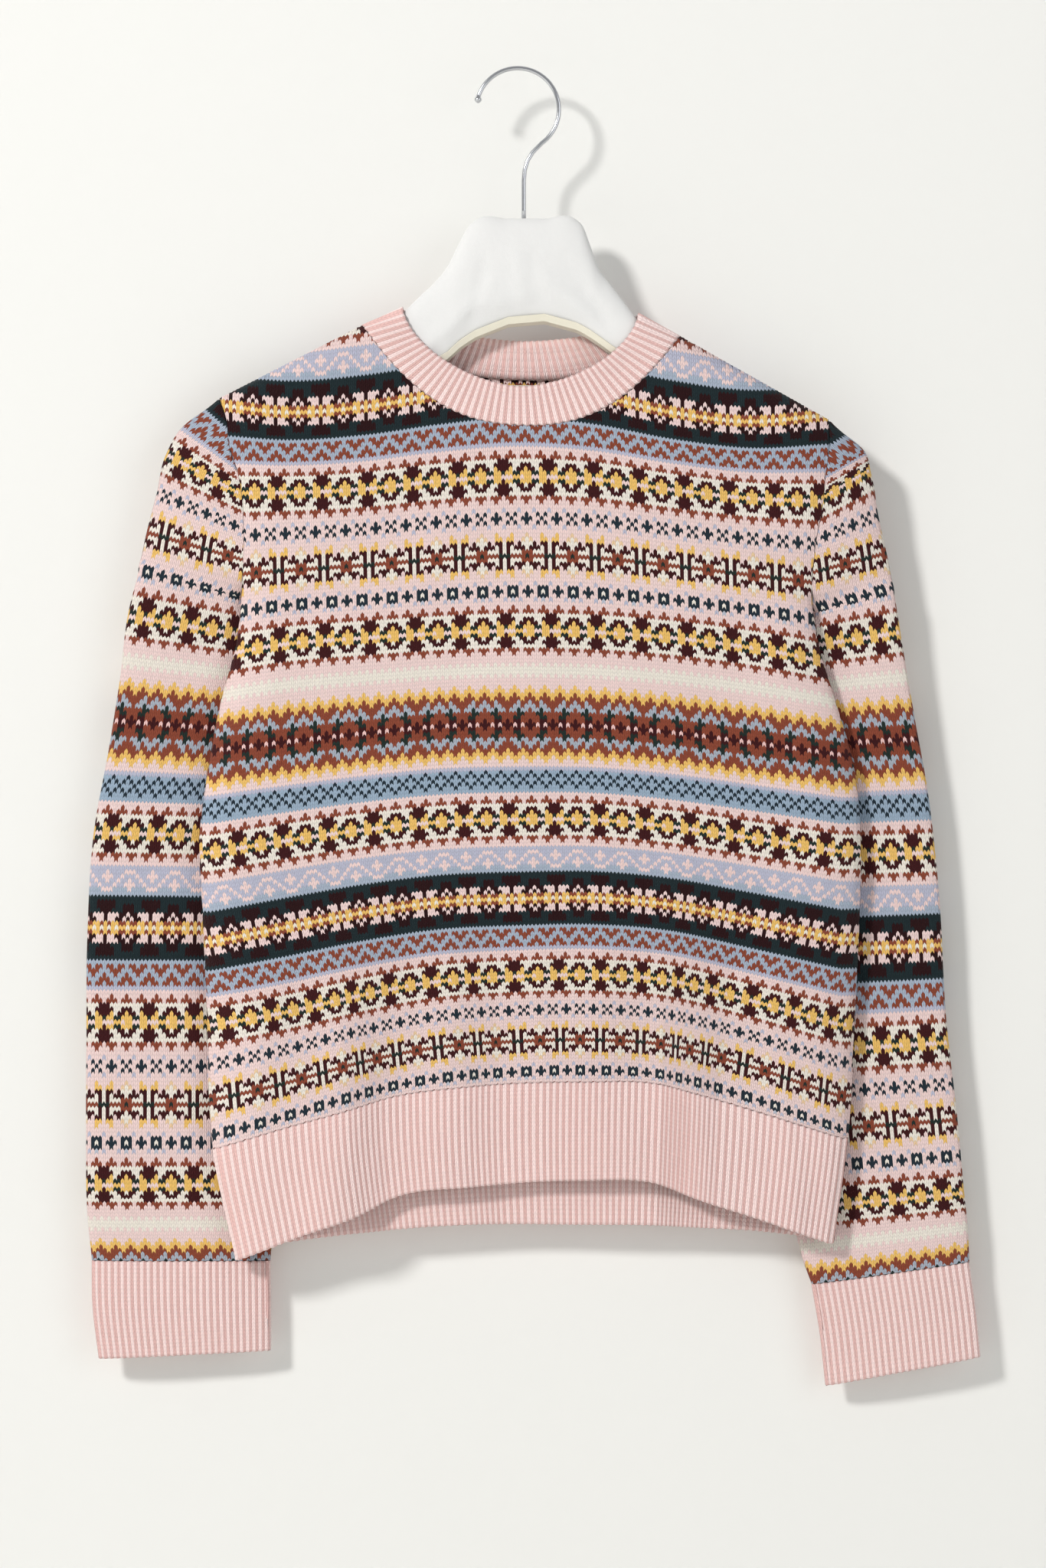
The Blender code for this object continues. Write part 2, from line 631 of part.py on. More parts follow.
def main():
    for item in list(bpy.data.objects):
        bpy.data.objects.remove(item)
    bpy.context.scene.collection.children.link(bpy.data.collections.new(COLLECTION))
    knit = make_material("patterned_knit", (0.78, 0.58, 0.55), 0.9)
    rib = make_material("pink_rib", (0.80, 0.52, 0.49), 0.9)
    tape = make_material("cream_tape", (0.78, 0.75, 0.62), 0.8)
    cover = make_material("white_cover", (0.86, 0.86, 0.88), 0.85)
    steel = make_material("polished_steel", (0.72, 0.73, 0.75), 0.15, metallic=1.0)
    add_body_panels(knit)
    add_sleeves(knit)
    add_ribs(rib)
    add_neck_label(tape)
    add_hanger_body(cover)
    add_hanger_binding(tape)
    add_hook(steel)


main()
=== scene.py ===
"""Looks of a stranded-knit jumper on a covered clothes hanger, laid out as a Blender add-on.

The knitting is a lattice of stitches: two columns of faces to a stitch, the middle of each stitch
a little lower than its sides, so that every stitch is a V of its own yarn. Courses, the rows of
stitches, are numbered downwards from the middle of the chest's band of rounds. Wales, the columns,
are numbered from the middle of the front to the viewer's right. Units are metres.
"""

import json
from collections import namedtuple
from math import pi, radians

import bmesh
import bpy
import numpy as np
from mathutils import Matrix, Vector

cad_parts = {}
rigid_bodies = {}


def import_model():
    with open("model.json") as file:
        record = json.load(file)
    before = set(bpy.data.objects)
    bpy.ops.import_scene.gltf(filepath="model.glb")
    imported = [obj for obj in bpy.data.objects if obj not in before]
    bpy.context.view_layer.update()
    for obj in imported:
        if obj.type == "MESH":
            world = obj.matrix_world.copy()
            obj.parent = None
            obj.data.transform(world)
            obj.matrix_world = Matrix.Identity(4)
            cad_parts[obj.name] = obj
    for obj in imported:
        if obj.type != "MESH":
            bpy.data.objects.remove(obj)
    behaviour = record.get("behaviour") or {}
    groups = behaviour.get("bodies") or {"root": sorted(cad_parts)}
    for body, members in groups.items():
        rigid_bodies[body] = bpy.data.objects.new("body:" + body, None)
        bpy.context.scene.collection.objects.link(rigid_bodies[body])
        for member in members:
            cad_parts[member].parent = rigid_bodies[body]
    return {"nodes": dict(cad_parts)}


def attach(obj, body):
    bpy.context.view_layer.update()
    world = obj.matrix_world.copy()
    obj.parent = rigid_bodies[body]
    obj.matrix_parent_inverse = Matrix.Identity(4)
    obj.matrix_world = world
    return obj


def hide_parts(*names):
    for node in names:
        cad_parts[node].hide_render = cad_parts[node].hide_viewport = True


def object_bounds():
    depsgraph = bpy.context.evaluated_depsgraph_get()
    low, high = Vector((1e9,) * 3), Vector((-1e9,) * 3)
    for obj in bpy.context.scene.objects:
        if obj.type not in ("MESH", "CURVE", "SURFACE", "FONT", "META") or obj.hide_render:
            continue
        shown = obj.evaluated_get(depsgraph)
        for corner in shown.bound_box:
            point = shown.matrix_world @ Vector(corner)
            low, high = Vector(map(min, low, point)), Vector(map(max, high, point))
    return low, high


for item in list(bpy.data.objects):
    bpy.data.objects.remove(item)
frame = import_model()
CAD_BOX = [list(corner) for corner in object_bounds()]

bl_info = {
    "name": "Fair isle jumper on a hanger",
    "version": (1, 0, 0),
    "blender": (4, 5, 0),
    "location": "View3D > Sidebar > Jumper",
    "description": "Knits the bands, ribs and sleeves of a jumper, and covers its hanger",
    "category": "Add Mesh",
}



def table(kind, *rows):
    """A table whose rows have the named columns of their kind."""
    return tuple(kind(*row) for row in rows)


# The form that the cloth hangs in, the same as the solids have.
SHOULDER_ROUND = 0.016
SIDE_ROUND = 0.035
ARMHOLE_OPEN = 0.008
ARMHOLE_FADE = 0.030
HANGER_Y = -0.0020
SEAM_LIFT = 0.0002

# The flattened tube of the body, from the shoulder tips down: side edges and half depths.
Section = namedtuple("Section", "z left right front back")
BODY = table(
    Section,
    (-0.214, -0.1945, 0.203, 0.013, 0.009),
    (-0.228, -0.1898, 0.2027, 0.013, 0.009),
    (-0.245, -0.188, 0.2028, 0.013, 0.009),
    (-0.265, -0.1818, 0.2005, 0.0132, 0.009),
    (-0.285, -0.179, 0.1985, 0.0136, 0.009),
    (-0.31, -0.1785, 0.194, 0.014, 0.009),
    (-0.34, -0.18, 0.192, 0.0146, 0.0088),
    (-0.375, -0.1838, 0.1965, 0.015, 0.0086),
    (-0.41, -0.1932, 0.2068, 0.0154, 0.0086),
    (-0.45, -0.201, 0.2185, 0.0156, 0.0086),
    (-0.5, -0.2075, 0.224, 0.0156, 0.0086),
    (-0.55, -0.2056, 0.2232, 0.0154, 0.0084),
    (-0.62, -0.2027, 0.22, 0.015, 0.008),
    (-0.7, -0.1995, 0.2155, 0.0144, 0.0076),
    (-0.776, -0.184, 0.205, 0.0136, 0.0072),
)

# The ridge that the cloth hangs from: shoulder tips, neck points, and its run across the neck.
Ridge = namedtuple("Ridge", "x z")
SHOULDERS = table(
    Ridge,
    (-0.1945, -0.214),
    (-0.1016, -0.1664),
    (-0.0756, -0.1545),
    (0.002, -0.118),
    (0.0794, -0.158),
    (0.1061, -0.1735),
    (0.203, -0.228),
)

# The hem, from left to right: top of the rib, and lower edges of the front and back ribs.
Hem = namedtuple("Hem", "x rib_top front back")
HEM = table(
    Hem,
    (-0.2, -0.7045, -0.777, -0.771),
    (-0.15, -0.6893, -0.7592, -0.7635),
    (-0.108, -0.6775, -0.7455, -0.7588),
    (-0.085, -0.6705, -0.735, -0.7565),
    (-0.03, -0.6628, -0.7278, -0.7535),
    (0.04, -0.6598, -0.7236, -0.7536),
    (0.092, -0.6612, -0.7256, -0.754),
    (0.116, -0.6672, -0.734, -0.7553),
    (0.16, -0.6803, -0.7478, -0.7575),
    (0.212, -0.6968, -0.765, -0.763),
)

# Underarm heights, and the soft upright folds of the front: place, start, width and reach.
UNDERARM_LEFT = -0.3395
UNDERARM_RIGHT = -0.3480
Fold = namedtuple("Fold", "x_top x_hem z_top width reach")
FRONT_FOLDS = table(
    Fold,
    (-0.082, -0.118, -0.42, 0.019, 0.0055),
    (-0.06, -0.084, -0.44, 0.024, -0.0038),
    (0.0, 0.005, -0.44, 0.062, -0.0055),
    (0.075, 0.094, -0.44, 0.02, -0.0038),
    (0.1, 0.122, -0.4, 0.017, 0.006),
    (0.175, 0.193, -0.56, 0.01, -0.0025),
)
BACK_FOLDS = table(
    Fold,
    (-0.04, -0.06, -0.44, 0.04, -0.002),
    (0.05, 0.07, -0.46, 0.036, -0.0022),
)
HEM_LEVEL = -0.740
FOLD_GROWTH = 1.5

# The neck opening: half widths and drops of the band's inner and outer edges, and the two
# exponents that give an edge its curve.
Edge = namedtuple("Edge", "x half_width z tilt front_drop back_drop bend close")
BAND_INNER = Edge(0.0019, 0.0775, -0.15625, -0.00175, 0.0516, 0.0205, 1.70, 0.588)
BAND_OUTER = Edge(0.00225, 0.10385, -0.16995, -0.00355, 0.0628, 0.0315, 2.40, 1.000)

# A sleeve's cap: where the ring that ends at a height of the armhole has its outer fold.
Cap = namedtuple("Cap", "inner_z outer_x outer_z outer_y")
CAP_LEFT = table(
    Cap,
    (-0.215, -0.1962, -0.2156, 0.0),
    (-0.223, -0.199, -0.218, 0.0),
    (-0.234, -0.2034, -0.2214, 0.0),
    (-0.2545, -0.2158, -0.2302, 0.0004),
    (-0.2776, -0.2296, -0.2508, 0.001),
    (-0.2998, -0.2356, -0.2758, 0.002),
    (-0.3201, -0.2424, -0.3017, 0.003),
    (-0.342, -0.2478, -0.3275, 0.0042),
)
CAP_RIGHT = table(
    Cap,
    (-0.229, 0.2048, -0.2298, 0.0),
    (-0.234, 0.207, -0.2322, 0.0),
    (-0.24, 0.2106, -0.2354, 0.0),
    (-0.2608, 0.2249, -0.2469, 0.0004),
    (-0.283, 0.2309, -0.264, 0.001),
    (-0.307, 0.2355, -0.2904, 0.002),
    (-0.3283, 0.2411, -0.3153, 0.003),
    (-0.3515, 0.2462, -0.342, 0.0042),
)

# The sleeves' tubes and cuffs below the underarm: the outer fold, the inner fold, half depth.
Ring = namedtuple("Ring", "outer_x outer_z outer_y inner_x inner_z inner_y half")
SLEEVE_LEFT = table(
    Ring,
    (-0.248, -0.328, 0.0042, -0.1812, -0.344, 0.0082, 0.0068),
    (-0.255, -0.356, 0.0062, -0.169, -0.37, 0.014, 0.007),
    (-0.26, -0.395, 0.0085, -0.156, -0.406, 0.0176, 0.007),
    (-0.2672, -0.44, 0.0104, -0.15, -0.447, 0.0184, 0.007),
    (-0.278, -0.5, 0.0116, -0.149, -0.503, 0.0186, 0.007),
    (-0.2818, -0.56, 0.012, -0.15, -0.561, 0.0184, 0.0068),
    (-0.2826, -0.63, 0.012, -0.153, -0.63, 0.0182, 0.0066),
    (-0.2828, -0.7, 0.012, -0.157, -0.7, 0.018, 0.0066),
    (-0.2822, -0.744, 0.012, -0.1595, -0.744, 0.0176, 0.0066),
    (-0.279, -0.778, 0.0122, -0.1625, -0.7785, 0.0168, 0.0062),
)
CUFF_LEFT = table(
    Ring,
    (-0.279, -0.7783, 0.0122, -0.1625, -0.7788, 0.0168, 0.0062),
    (-0.2785, -0.808, 0.0124, -0.162, -0.808, 0.0162, 0.006),
    (-0.2745, -0.842, 0.0128, -0.162, -0.837, 0.0158, 0.006),
)
SLEEVE_RIGHT = table(
    Ring,
    (0.2462, -0.342, 0.0042, 0.1938, -0.354, 0.0082, 0.0068),
    (0.2508, -0.37, 0.0062, 0.182, -0.38, 0.014, 0.007),
    (0.259, -0.418, 0.0085, 0.169, -0.424, 0.0176, 0.007),
    (0.269, -0.474, 0.0104, 0.164, -0.478, 0.0184, 0.007),
    (0.2764, -0.543, 0.0116, 0.164, -0.547, 0.0186, 0.007),
    (0.2808, -0.62, 0.012, 0.168, -0.626, 0.0184, 0.0068),
    (0.288, -0.684, 0.012, 0.173, -0.692, 0.0182, 0.0066),
    (0.2922, -0.73, 0.012, 0.18, -0.74, 0.0178, 0.0066),
    (0.2952, -0.76, 0.0122, 0.186, -0.774, 0.0172, 0.0064),
    (0.296, -0.779, 0.0122, 0.193, -0.794, 0.0166, 0.0062),
)
CUFF_RIGHT = table(
    Ring,
    (0.296, -0.7793, 0.0122, 0.193, -0.7943, 0.0166, 0.0062),
    (0.3, -0.808, 0.0124, 0.198, -0.824, 0.016, 0.006),
    (0.3035, -0.841, 0.0128, 0.202, -0.86, 0.0156, 0.006),
)
# The power of a sleeve's section: 2 is an ellipse, and more is squarer.
TUBE_POWER = 2.6

# The covered hanger, from tip to tip: upper edge, lower edge and half thickness.
Station = namedtuple("Station", "x top bottom half")
HANGER = table(
    Station,
    (-0.184, -0.219, -0.23, 0.0022),
    (-0.178, -0.2132, -0.2345, 0.004),
    (-0.15, -0.1962, -0.231, 0.0056),
    (-0.11, -0.1751, -0.22, 0.007),
    (-0.076, -0.1594, -0.206, 0.0078),
    (-0.064, -0.148, -0.199, 0.008),
    (-0.054, -0.1385, -0.194, 0.0082),
    (-0.0455, -0.128, -0.189, 0.0086),
    (-0.038, -0.113, -0.182, 0.009),
    (-0.032, -0.102, -0.1778, 0.0092),
    (-0.027, -0.0978, -0.1748, 0.0094),
    (-0.006, -0.097, -0.1665, 0.0096),
    (0.0175, -0.097, -0.1645, 0.0096),
    (0.038, -0.0976, -0.17, 0.0094),
    (0.0425, -0.102, -0.1722, 0.0092),
    (0.0475, -0.115, -0.1752, 0.009),
    (0.053, -0.1295, -0.179, 0.0086),
    (0.061, -0.1405, -0.1848, 0.0082),
    (0.069, -0.151, -0.19, 0.008),
    (0.0785, -0.1632, -0.196, 0.0078),
    (0.12, -0.186, -0.22, 0.007),
    (0.16, -0.2086, -0.238, 0.0056),
    (0.187, -0.2264, -0.244, 0.004),
    (0.193, -0.232, -0.24, 0.0022),
)

HANGER_SIDES = 44
HANGER_POWER = 2.4

# The hook's wire: its bow, the bend below it, and the stem that ends in the hanger's top.
WIRE_RADIUS = 0.0015
HOOK_RADIUS = 0.0270
BOW_ANGLES = range(162, -56, -3)
Bend = namedtuple("Bend", "x z")
HOOK_BENDS = table(
    Bend,
    (0.0098, -0.0535),
    (0.0064, -0.059),
    (0.0046, -0.065),
)
STEM_X = 0.0040
STEM_HEIGHTS = (-0.0720, -0.0810, -0.0900)
HANGER_TOP = -0.0967

# The ball at the wire's tip: how thick the wire is at each of its points, and their spacing.
BALL_SWELL = (0.35, 0.95, 1.3, 1.55, 1.62, 1.55, 1.3, 1.05)
BALL_STEP_X = 0.00004
BALL_STEP_Z = 0.0006
WIRE_ROUNDNESS = 6
WIRE_MERGE = 1e-6
COVER_RINGS = 241

# Stitches: their width, how far a V's middle hangs below its sides in courses, and the ribs'
# thickness, course height and wales.
WALE = 0.00245
V_DROP = 0.30
RIB_THICK = 0.0024
RIB_PITCH = 0.0027
CUFF_WALE = 0.00208
BAND_WALE = 0.00232
MM = 0.001

# A rib's lower edge: its reach past the last course, and where its two lines lie in the wall.
EDGE_REACH = 0.0007
EDGE_PLACES = (0.25, 0.75)
# How fast the V grows in from a rib's ends, and the share of its depth that a wall may take.
V_GROWTH = 0.2
WALL_SHARE = 0.8
CUFF_THICK = 0.0016
CUFF_SIDE_SHARE = 0.03
CUFF_SIDE_THICK = 0.0022
CUFF_BACK_LINES = 6
BAND_BACK_LINES = 7
NECK_SAMPLES = 721
RIB_WAVE = (0.0, 1.0, 0.0, -1.3)
INNER_RELIEF = 0.8
EDGE_RELIEF = 0.5

# Where a course lies at the middle of the front, and how far it droops, in millimetres, at nine
# places from the left side to the right one.
DROOP_X = np.array((-0.20, -0.15, -0.10, -0.05, 0.0, 0.05, 0.10, 0.15, 0.21))
Course = namedtuple("Course", "number z droop")
COURSES = table(
    Course,
    (-50, -0.1333, (-6, -14, -10, -3, 0, -4, -13, -20, -13)),
    (-22, -0.2075, (-11, -17, -13.5, -5.5, 0, -6, -17, -23, -17)),
    (0, -0.2664, (-10, -10.2, -7.9, -2.6, 0, -1.5, -8.2, -13.8, -16)),
    (19, -0.3178, (-13, -9.4, -6.2, -2.2, 0, -1.3, -6.4, -12.2, -19)),
    (38, -0.36635, (-17, -8.7, -4.9, -1.9, -0.2, -1.2, -4.7, -10.9, -22)),
    (63, -0.42735, (-17, -11.3, -5.8, -1.2, -0.2, -1.1, -5.2, -11.5, -19.6)),
    (89, -0.48885, (-22, -14, -7, -2, -0.3, -0.5, -5, -12, -21)),
    (111, -0.5401, (-29, -19, -9.5, -2.8, -0.6, 0, -4.5, -14.5, -27)),
    (133, -0.59025, (-33, -24, -12.8, -4, -0.9, 0, -3.8, -16.2, -32.5)),
    (161, -0.65225, (-43, -29.7, -14.8, -5, -1.2, 0, -3.8, -17.3, -39)),
)
RIB_COURSE = 164.5

# Where the wales lie in the lower body, which is gathered at the flanks of its folds.
Wale = namedtuple("Wale", "number x_mid x_hem")
WALES = table(
    Wale,
    (-99, -0.211, -0.204),
    (-84, -0.1714, -0.1657),
    (-72, -0.1444, -0.1366),
    (-60, -0.1171, -0.1098),
    (-48, -0.0949, -0.0884),
    (-36, -0.0688, -0.0622),
    (-24, -0.0405, -0.035),
    (-12, -0.0157, -0.012),
    (0, 0.0145, 0.0165),
    (12, 0.0415, 0.0418),
    (24, 0.0688, 0.0672),
    (36, 0.0951, 0.094),
    (48, 0.1152, 0.1112),
    (60, 0.1382, 0.1306),
    (72, 0.1674, 0.1598),
    (84, 0.1921, 0.186),
    (101, 0.226, 0.22),
)

# Where the middle wale lies in the upper body, which is knitted even.
Middle = namedtuple("Middle", "number x")
MIDDLES = table(
    Middle,
    (-22, 0.0055),
    (0, 0.0066),
    (38, 0.0085),
    (89, 0.0105),
)
# The last course with even wales, the course where they lie as x_mid says, and the end wales.
STRAIGHT_TO = 89
MIDDLE_COURSE = 133
FIRST_WALE = -102
LAST_WALE = 103

# Heights of courses down the outer fold of each sleeve.
SleeveCourse = namedtuple("SleeveCourse", "number left right")
SLEEVE_COURSES = table(
    SleeveCourse,
    (-22, -0.21, -0.22),
    (-11, -0.227, -0.2469),
    (0, -0.2508, -0.2605),
    (10, -0.2758, -0.2904),
    (19, -0.3017, -0.3153),
    (28, -0.3257, -0.3375),
    (38, -0.3565, -0.367),
    (63, -0.4245, -0.4365),
    (89, -0.498, -0.511),
    (111, -0.56, -0.5715),
    (133, -0.622, -0.6355),
    (143, -0.651, -0.6625),
    (152, -0.676, -0.686),
    (161, -0.701, -0.7095),
    (171, -0.729, -0.734),
    (185, -0.7625, -0.764),
    (192, -0.778, -0.779),
)
FIRST_SLEEVE_COURSE = -21
SLEEVE_WALES = 58
CAP_BLEND = 0.014

# Soft creases: a line from its upper to its lower end, its width, and how far it stands out. A
# crease is full over the middle half of its line, and fades out over the share given here.
Crease = namedtuple("Crease", "x_top z_top x_low z_low width reach")
CREASE_LEVEL = 0.25
CREASE_FADE = 0.18
FRONT_CREASES = table(
    Crease,
    (-0.172, -0.3, -0.12, -0.37, 0.016, -0.0016),
    (0.186, -0.31, 0.14, -0.385, 0.018, -0.0018),
    (-0.15, -0.56, -0.172, -0.7, 0.012, 0.0016),
    (-0.045, -0.6, -0.048, -0.74, 0.016, 0.0014),
    (0.05, -0.59, 0.055, -0.73, 0.018, 0.0012),
    (0.156, -0.6, 0.164, -0.745, 0.012, -0.0018),
    (-0.12, -0.235, -0.06, -0.262, 0.014, 0.001),
    (0.15, -0.245, 0.09, -0.262, 0.014, 0.0012),
)
BACK_CREASES = table(
    Crease,
    (-0.17, -0.3, -0.1, -0.4, 0.018, -0.0018),
    (0.184, -0.31, 0.11, -0.41, 0.018, -0.0016),
    (-0.11, -0.56, -0.125, -0.74, 0.016, 0.0022),
    (0.02, -0.6, 0.012, -0.74, 0.018, -0.0016),
    (0.13, -0.54, 0.142, -0.74, 0.016, 0.002),
)
SLEEVE_CREASES = table(
    Crease,
    (-0.25, -0.345, -0.19, -0.38, 0.01, -0.0014),
    (-0.262, -0.4, -0.185, -0.44, 0.012, 0.0012),
    (-0.258, -0.52, -0.19, -0.5, 0.014, -0.0012),
    (-0.215, -0.56, -0.208, -0.7, 0.014, 0.0014),
    (-0.265, -0.64, -0.24, -0.74, 0.012, -0.001),
    (-0.19, -0.7, -0.18, -0.775, 0.012, 0.001),
    (0.245, -0.355, 0.2, -0.39, 0.01, -0.0014),
    (0.256, -0.42, 0.19, -0.455, 0.012, 0.0012),
    (0.25, -0.54, 0.196, -0.515, 0.014, -0.0012),
    (0.222, -0.57, 0.232, -0.7, 0.014, 0.0014),
    (0.272, -0.65, 0.262, -0.745, 0.012, -0.001),
)
COVER_CREASES = table(
    Crease,
    (-0.012, -0.14, -0.07, -0.19, 0.004, 0.0012),
    (0.01, -0.132, 0.05, -0.165, 0.0045, 0.0014),
    (-0.02, -0.12, -0.03, -0.168, 0.005, -0.001),
    (0.026, -0.118, 0.066, -0.178, 0.004, -0.001),
    (-0.05, -0.16, 0.0, -0.15, 0.0035, 0.0008),
    (0.0, -0.112, 0.004, -0.16, 0.006, 0.0008),
)

# Yarns, by the letter that stands for them in a chart, and o, a painted shade for the ribs' gaps.
YARNS = {
    "p": ("pink", "F5DAD7"),
    "c": ("cream", "F5EDE2"),
    "r": ("burgundy", "3F1518"),
    "b": ("brown", "8E4835"),
    "y": ("yellow", "F4C66F"),
    "g": ("dark_green", "222F2B"),
    "n": ("navy", "23303A"),
    "l": ("lavender", "BFC0D4"),
    "s": ("pale_blue", "C0C6D4"),
    "e": ("peach", "F0CFA6"),
    "k": ("grey_blue", "AEB6C3"),
    "t": ("sky_blue", "9FB3C8"),
    "d": ("dusty_blue", "ACB8CA"),
    "P": ("bright_pink", "F3CAC6"),
    "R": ("dark_burgundy", "2A0E11"),
    "N": ("teal_navy", "1E2C30"),
    "i": ("rib_pink", "FFE6E3"),
    # o is a darker copy of the rib's pink, painted shade for the purl gaps between the ribs.
    "o": ("rib_shade", "EDC3BE"),
}


def mirrored(half):
    """A band's courses from its upper half, whose last course is the middle one."""
    return half + half[-2::-1]


# The bands' charts, a row for each course from the top, repeated across the wales.
CHARTS = {
    "plain": ("p",),
    "rounds": (
        "bpppbpppbppp",
        "bbpbbbpbbbpb",
        "cccccrrrcccc",
        "rrccrrrrrccr",
        "yrrcyrrrycrr",
        "yyggyygyyggy",
        "yyppyypppyyp",
        "yyggyyryyggy",
        "crrccrrrccrr",
        "rrccrrrrrccr",
        "cccccrrrcccc",
        "bbpbbbpbbbpb",
        "bpppbpppbppp",
    ),
    "crosses": ("pplppplp", "nppnpnpp", "nnppnppn", "nppnpnpp", "pplppplp"),
    "squares": mirrored(
        (
            "epppypppyppp",
            "ceppyypyyppe",
            "ccrprrcrrprc",
            "crrrcrcrcrrr",
            "bbcccrcrcccb",
            "gbbbbgggbbbb",
        )
    ),
    "rings": ("pplppplp", "nppnnnpp", "nnpncnpn", "nppnnnpp", "pplpsplp"),
    "cream_fade": ("p", "p", "pc", "c", "c", "cp", "p", "p"),
    "lattice": mirrored(
        (
            "ypppypppyppp",
            "yypyyypyyypy",
            "byyybyyybyyy",
            "bbybbbybbbyb",
            "kbbkbbbbbkbb",
            "kkbkkbbbkkbk",
            "bkkgkkbkkgkk",
            "bbggbbbbbggb",
            "bbbggbbbggbb",
            "rbbrrbrbrrbb",
            "rrPrPrrrPrPr",
        )
    ),
    "checks": ("llll", "nttt", "tntn", "ttnt", "tntn", "nttt", "tttt"),
    "stars": (
        "llllllllllll",
        "pllllpppllll",
        "ppllplllpllp",
        "pllpllpllpll",
        "llpllpppllpl",
        "ppddddpddddp",
        "dddddddddddd",
    ),
    "crowns": mirrored(
        (
            "NNNNNNNNNNNN",
            "RRRNNNNNNNRR",
            "RRRNNRRRNNRR",
            "RRNNNRRRNNNR",
            "RpppRRpRRppp",
            "RppRRpRpRRpp",
            "ybyybbybbyyb",
            "ycycyycyycyc",
        )
    ),
    "zigzag": ("dddddd", "dbbdbb", "bbdddb", "bddbdd", "ddbbbd", "dbbdbb", "llllll"),
}
# How many wales further along a chart's repeat starts.
CHART_STARTS = {"stars": 6, "crowns": 6, "zigzag": 3}
FIRST_COURSE = -50
UPPER = ("rounds", "plain", "stars", "crowns", "zigzag", "plain")
PIPS = ("rounds", "plain", "crosses", "plain", "squares", "plain", "rings", "plain")
MIDDLE = ("rounds", "cream_fade", "lattice", "plain", "checks", "plain")
BANDS = UPPER + PIPS + MIDDLE + UPPER + PIPS + ("rounds", "cream_fade", "lattice")

# Rings' samples, the smallest face that is kept, in square metres, and how near points merge.
RING_SAMPLES = 121
SMALLEST_FACE = 2e-9
MERGE = 2e-6

# The wool's mottle: noise scales and how much each counts.
Mottle = namedtuple("Mottle", "scale weight")
MOTTLES = table(
    Mottle,
    (2600.0, 0.9),
    (520.0, 1.3),
    (22.0, 0.5),
)
# The yarn's round form: powers of its waves across and down, and its fibres' scale and height.
LEG_ROUND = 0.6
COURSE_ROUND = 0.5
FIBRE_SCALE = 3200.0
FIBRE_HEIGHT = 0.5
WANDER_SCALE = 55.0
WEAVE_RATE = 9000.0
WOOL_BASE = (0.8, 0.6, 0.6)

# The stage: the wall and floor, the lights with their shares of the key's power, the camera.
WALL_REACH = 2.2
WALL_TOP = 1.6
FLOOR_REACH = 4.0
FLOOR_DROP = 0.30
STAGE_ROUGHNESS = 0.9
STAGE_MIDDLE = (0.0, 0.0, -0.45)
Light = namedtuple("Light", "name place size share color")
LIGHTS = table(
    Light,
    ("key", (-2.7, -3.4, 1.75), 0.70, 1.0, (1.0, 0.985, 0.965)),
    ("fill", (2.2, -2.6, 0.0), 2.4, 0.12, (0.97, 0.98, 1.0)),
    ("back_fill", (-0.8, 3.2, 0.8), 2.6, 0.4, (1.0, 1.0, 1.0)),
)
SKY_COLOR = (0.99, 0.995, 1.0, 1)
SKY_STRENGTH = 0.40
CAMERA_PLACE = (0.0035, -3.0, -0.466)
FRAME_HEIGHT = 1.024
SENSOR_HEIGHT = 36.0


def along(rows, key, value, at):
    """A smooth curve through a table: one named column over another, held level past its ends."""
    keys = np.array([getattr(row, key) for row in rows], float)
    values = np.array([getattr(row, value) for row in rows], float)
    order = np.argsort(keys)
    return curve(keys[order], values[order], at)


def curve(keys, values, at):
    """A smooth curve through values at rising keys."""
    slopes = np.gradient(values, keys)
    at = np.clip(np.asarray(at, float), keys[0], keys[-1])
    place = np.clip(np.searchsorted(keys, at) - 1, 0, len(keys) - 2)
    span = keys[place + 1] - keys[place]
    t = (at - keys[place]) / span
    start = (1 + 2 * t) * (1 - t) ** 2 * values[place] + t * (1 - t) ** 2 * span * slopes[place]
    end = t**2 * (3 - 2 * t) * values[place + 1] - t**2 * (1 - t) * span * slopes[place + 1]
    return start + end


def ridge(x):
    """Height of the line that the cloth hangs from."""
    return np.interp(x, [row.x for row in SHOULDERS], [row.z for row in SHOULDERS])


def quarter(t):
    """A quarter round, from nothing at 0 to full at 1."""
    return np.sqrt(1 - (1 - np.clip(t, 0, 1)) ** 2)


def opened(z, underarm):
    """How far the armhole holds the side edges apart, fading out down to the underarm."""
    return ARMHOLE_OPEN * np.clip((z - underarm) / ARMHOLE_FADE, 0, 1)


def fullness(x, z):
    """Share of the half depth that the body has at a place: nothing at its ridge and side seams."""
    from_left = x - along(BODY, "z", "left", z) + opened(z, UNDERARM_LEFT)
    from_right = along(BODY, "z", "right", z) - x + opened(z, UNDERARM_RIGHT)
    sides = quarter(from_left / SIDE_ROUND) * quarter(from_right / SIDE_ROUND)
    return sides * quarter((ridge(x) - z) / SHOULDER_ROUND)


def folded(folds, x, z):
    """How far the upright folds stand out at a place."""
    total = 0.0
    for fold in folds:
        down = np.clip((fold.z_top - z) / (fold.z_top - HEM_LEVEL), 0, 1)
        middle = fold.x_top + (fold.x_hem - fold.x_top) * down
        total = total + fold.reach * down**FOLD_GROWTH * np.exp(-(((x - middle) / fold.width) ** 2))
    return total


def front_y(x, z):
    """Outer surface of the front."""
    share = fullness(x, z)
    return -SEAM_LIFT - share * (along(BODY, "z", "front", z) + folded(FRONT_FOLDS, x, z))


def back_y(x, z):
    """Outer surface of the back."""
    share = fullness(x, z)
    return SEAM_LIFT + share * (along(BODY, "z", "back", z) + folded(BACK_FOLDS, x, z))


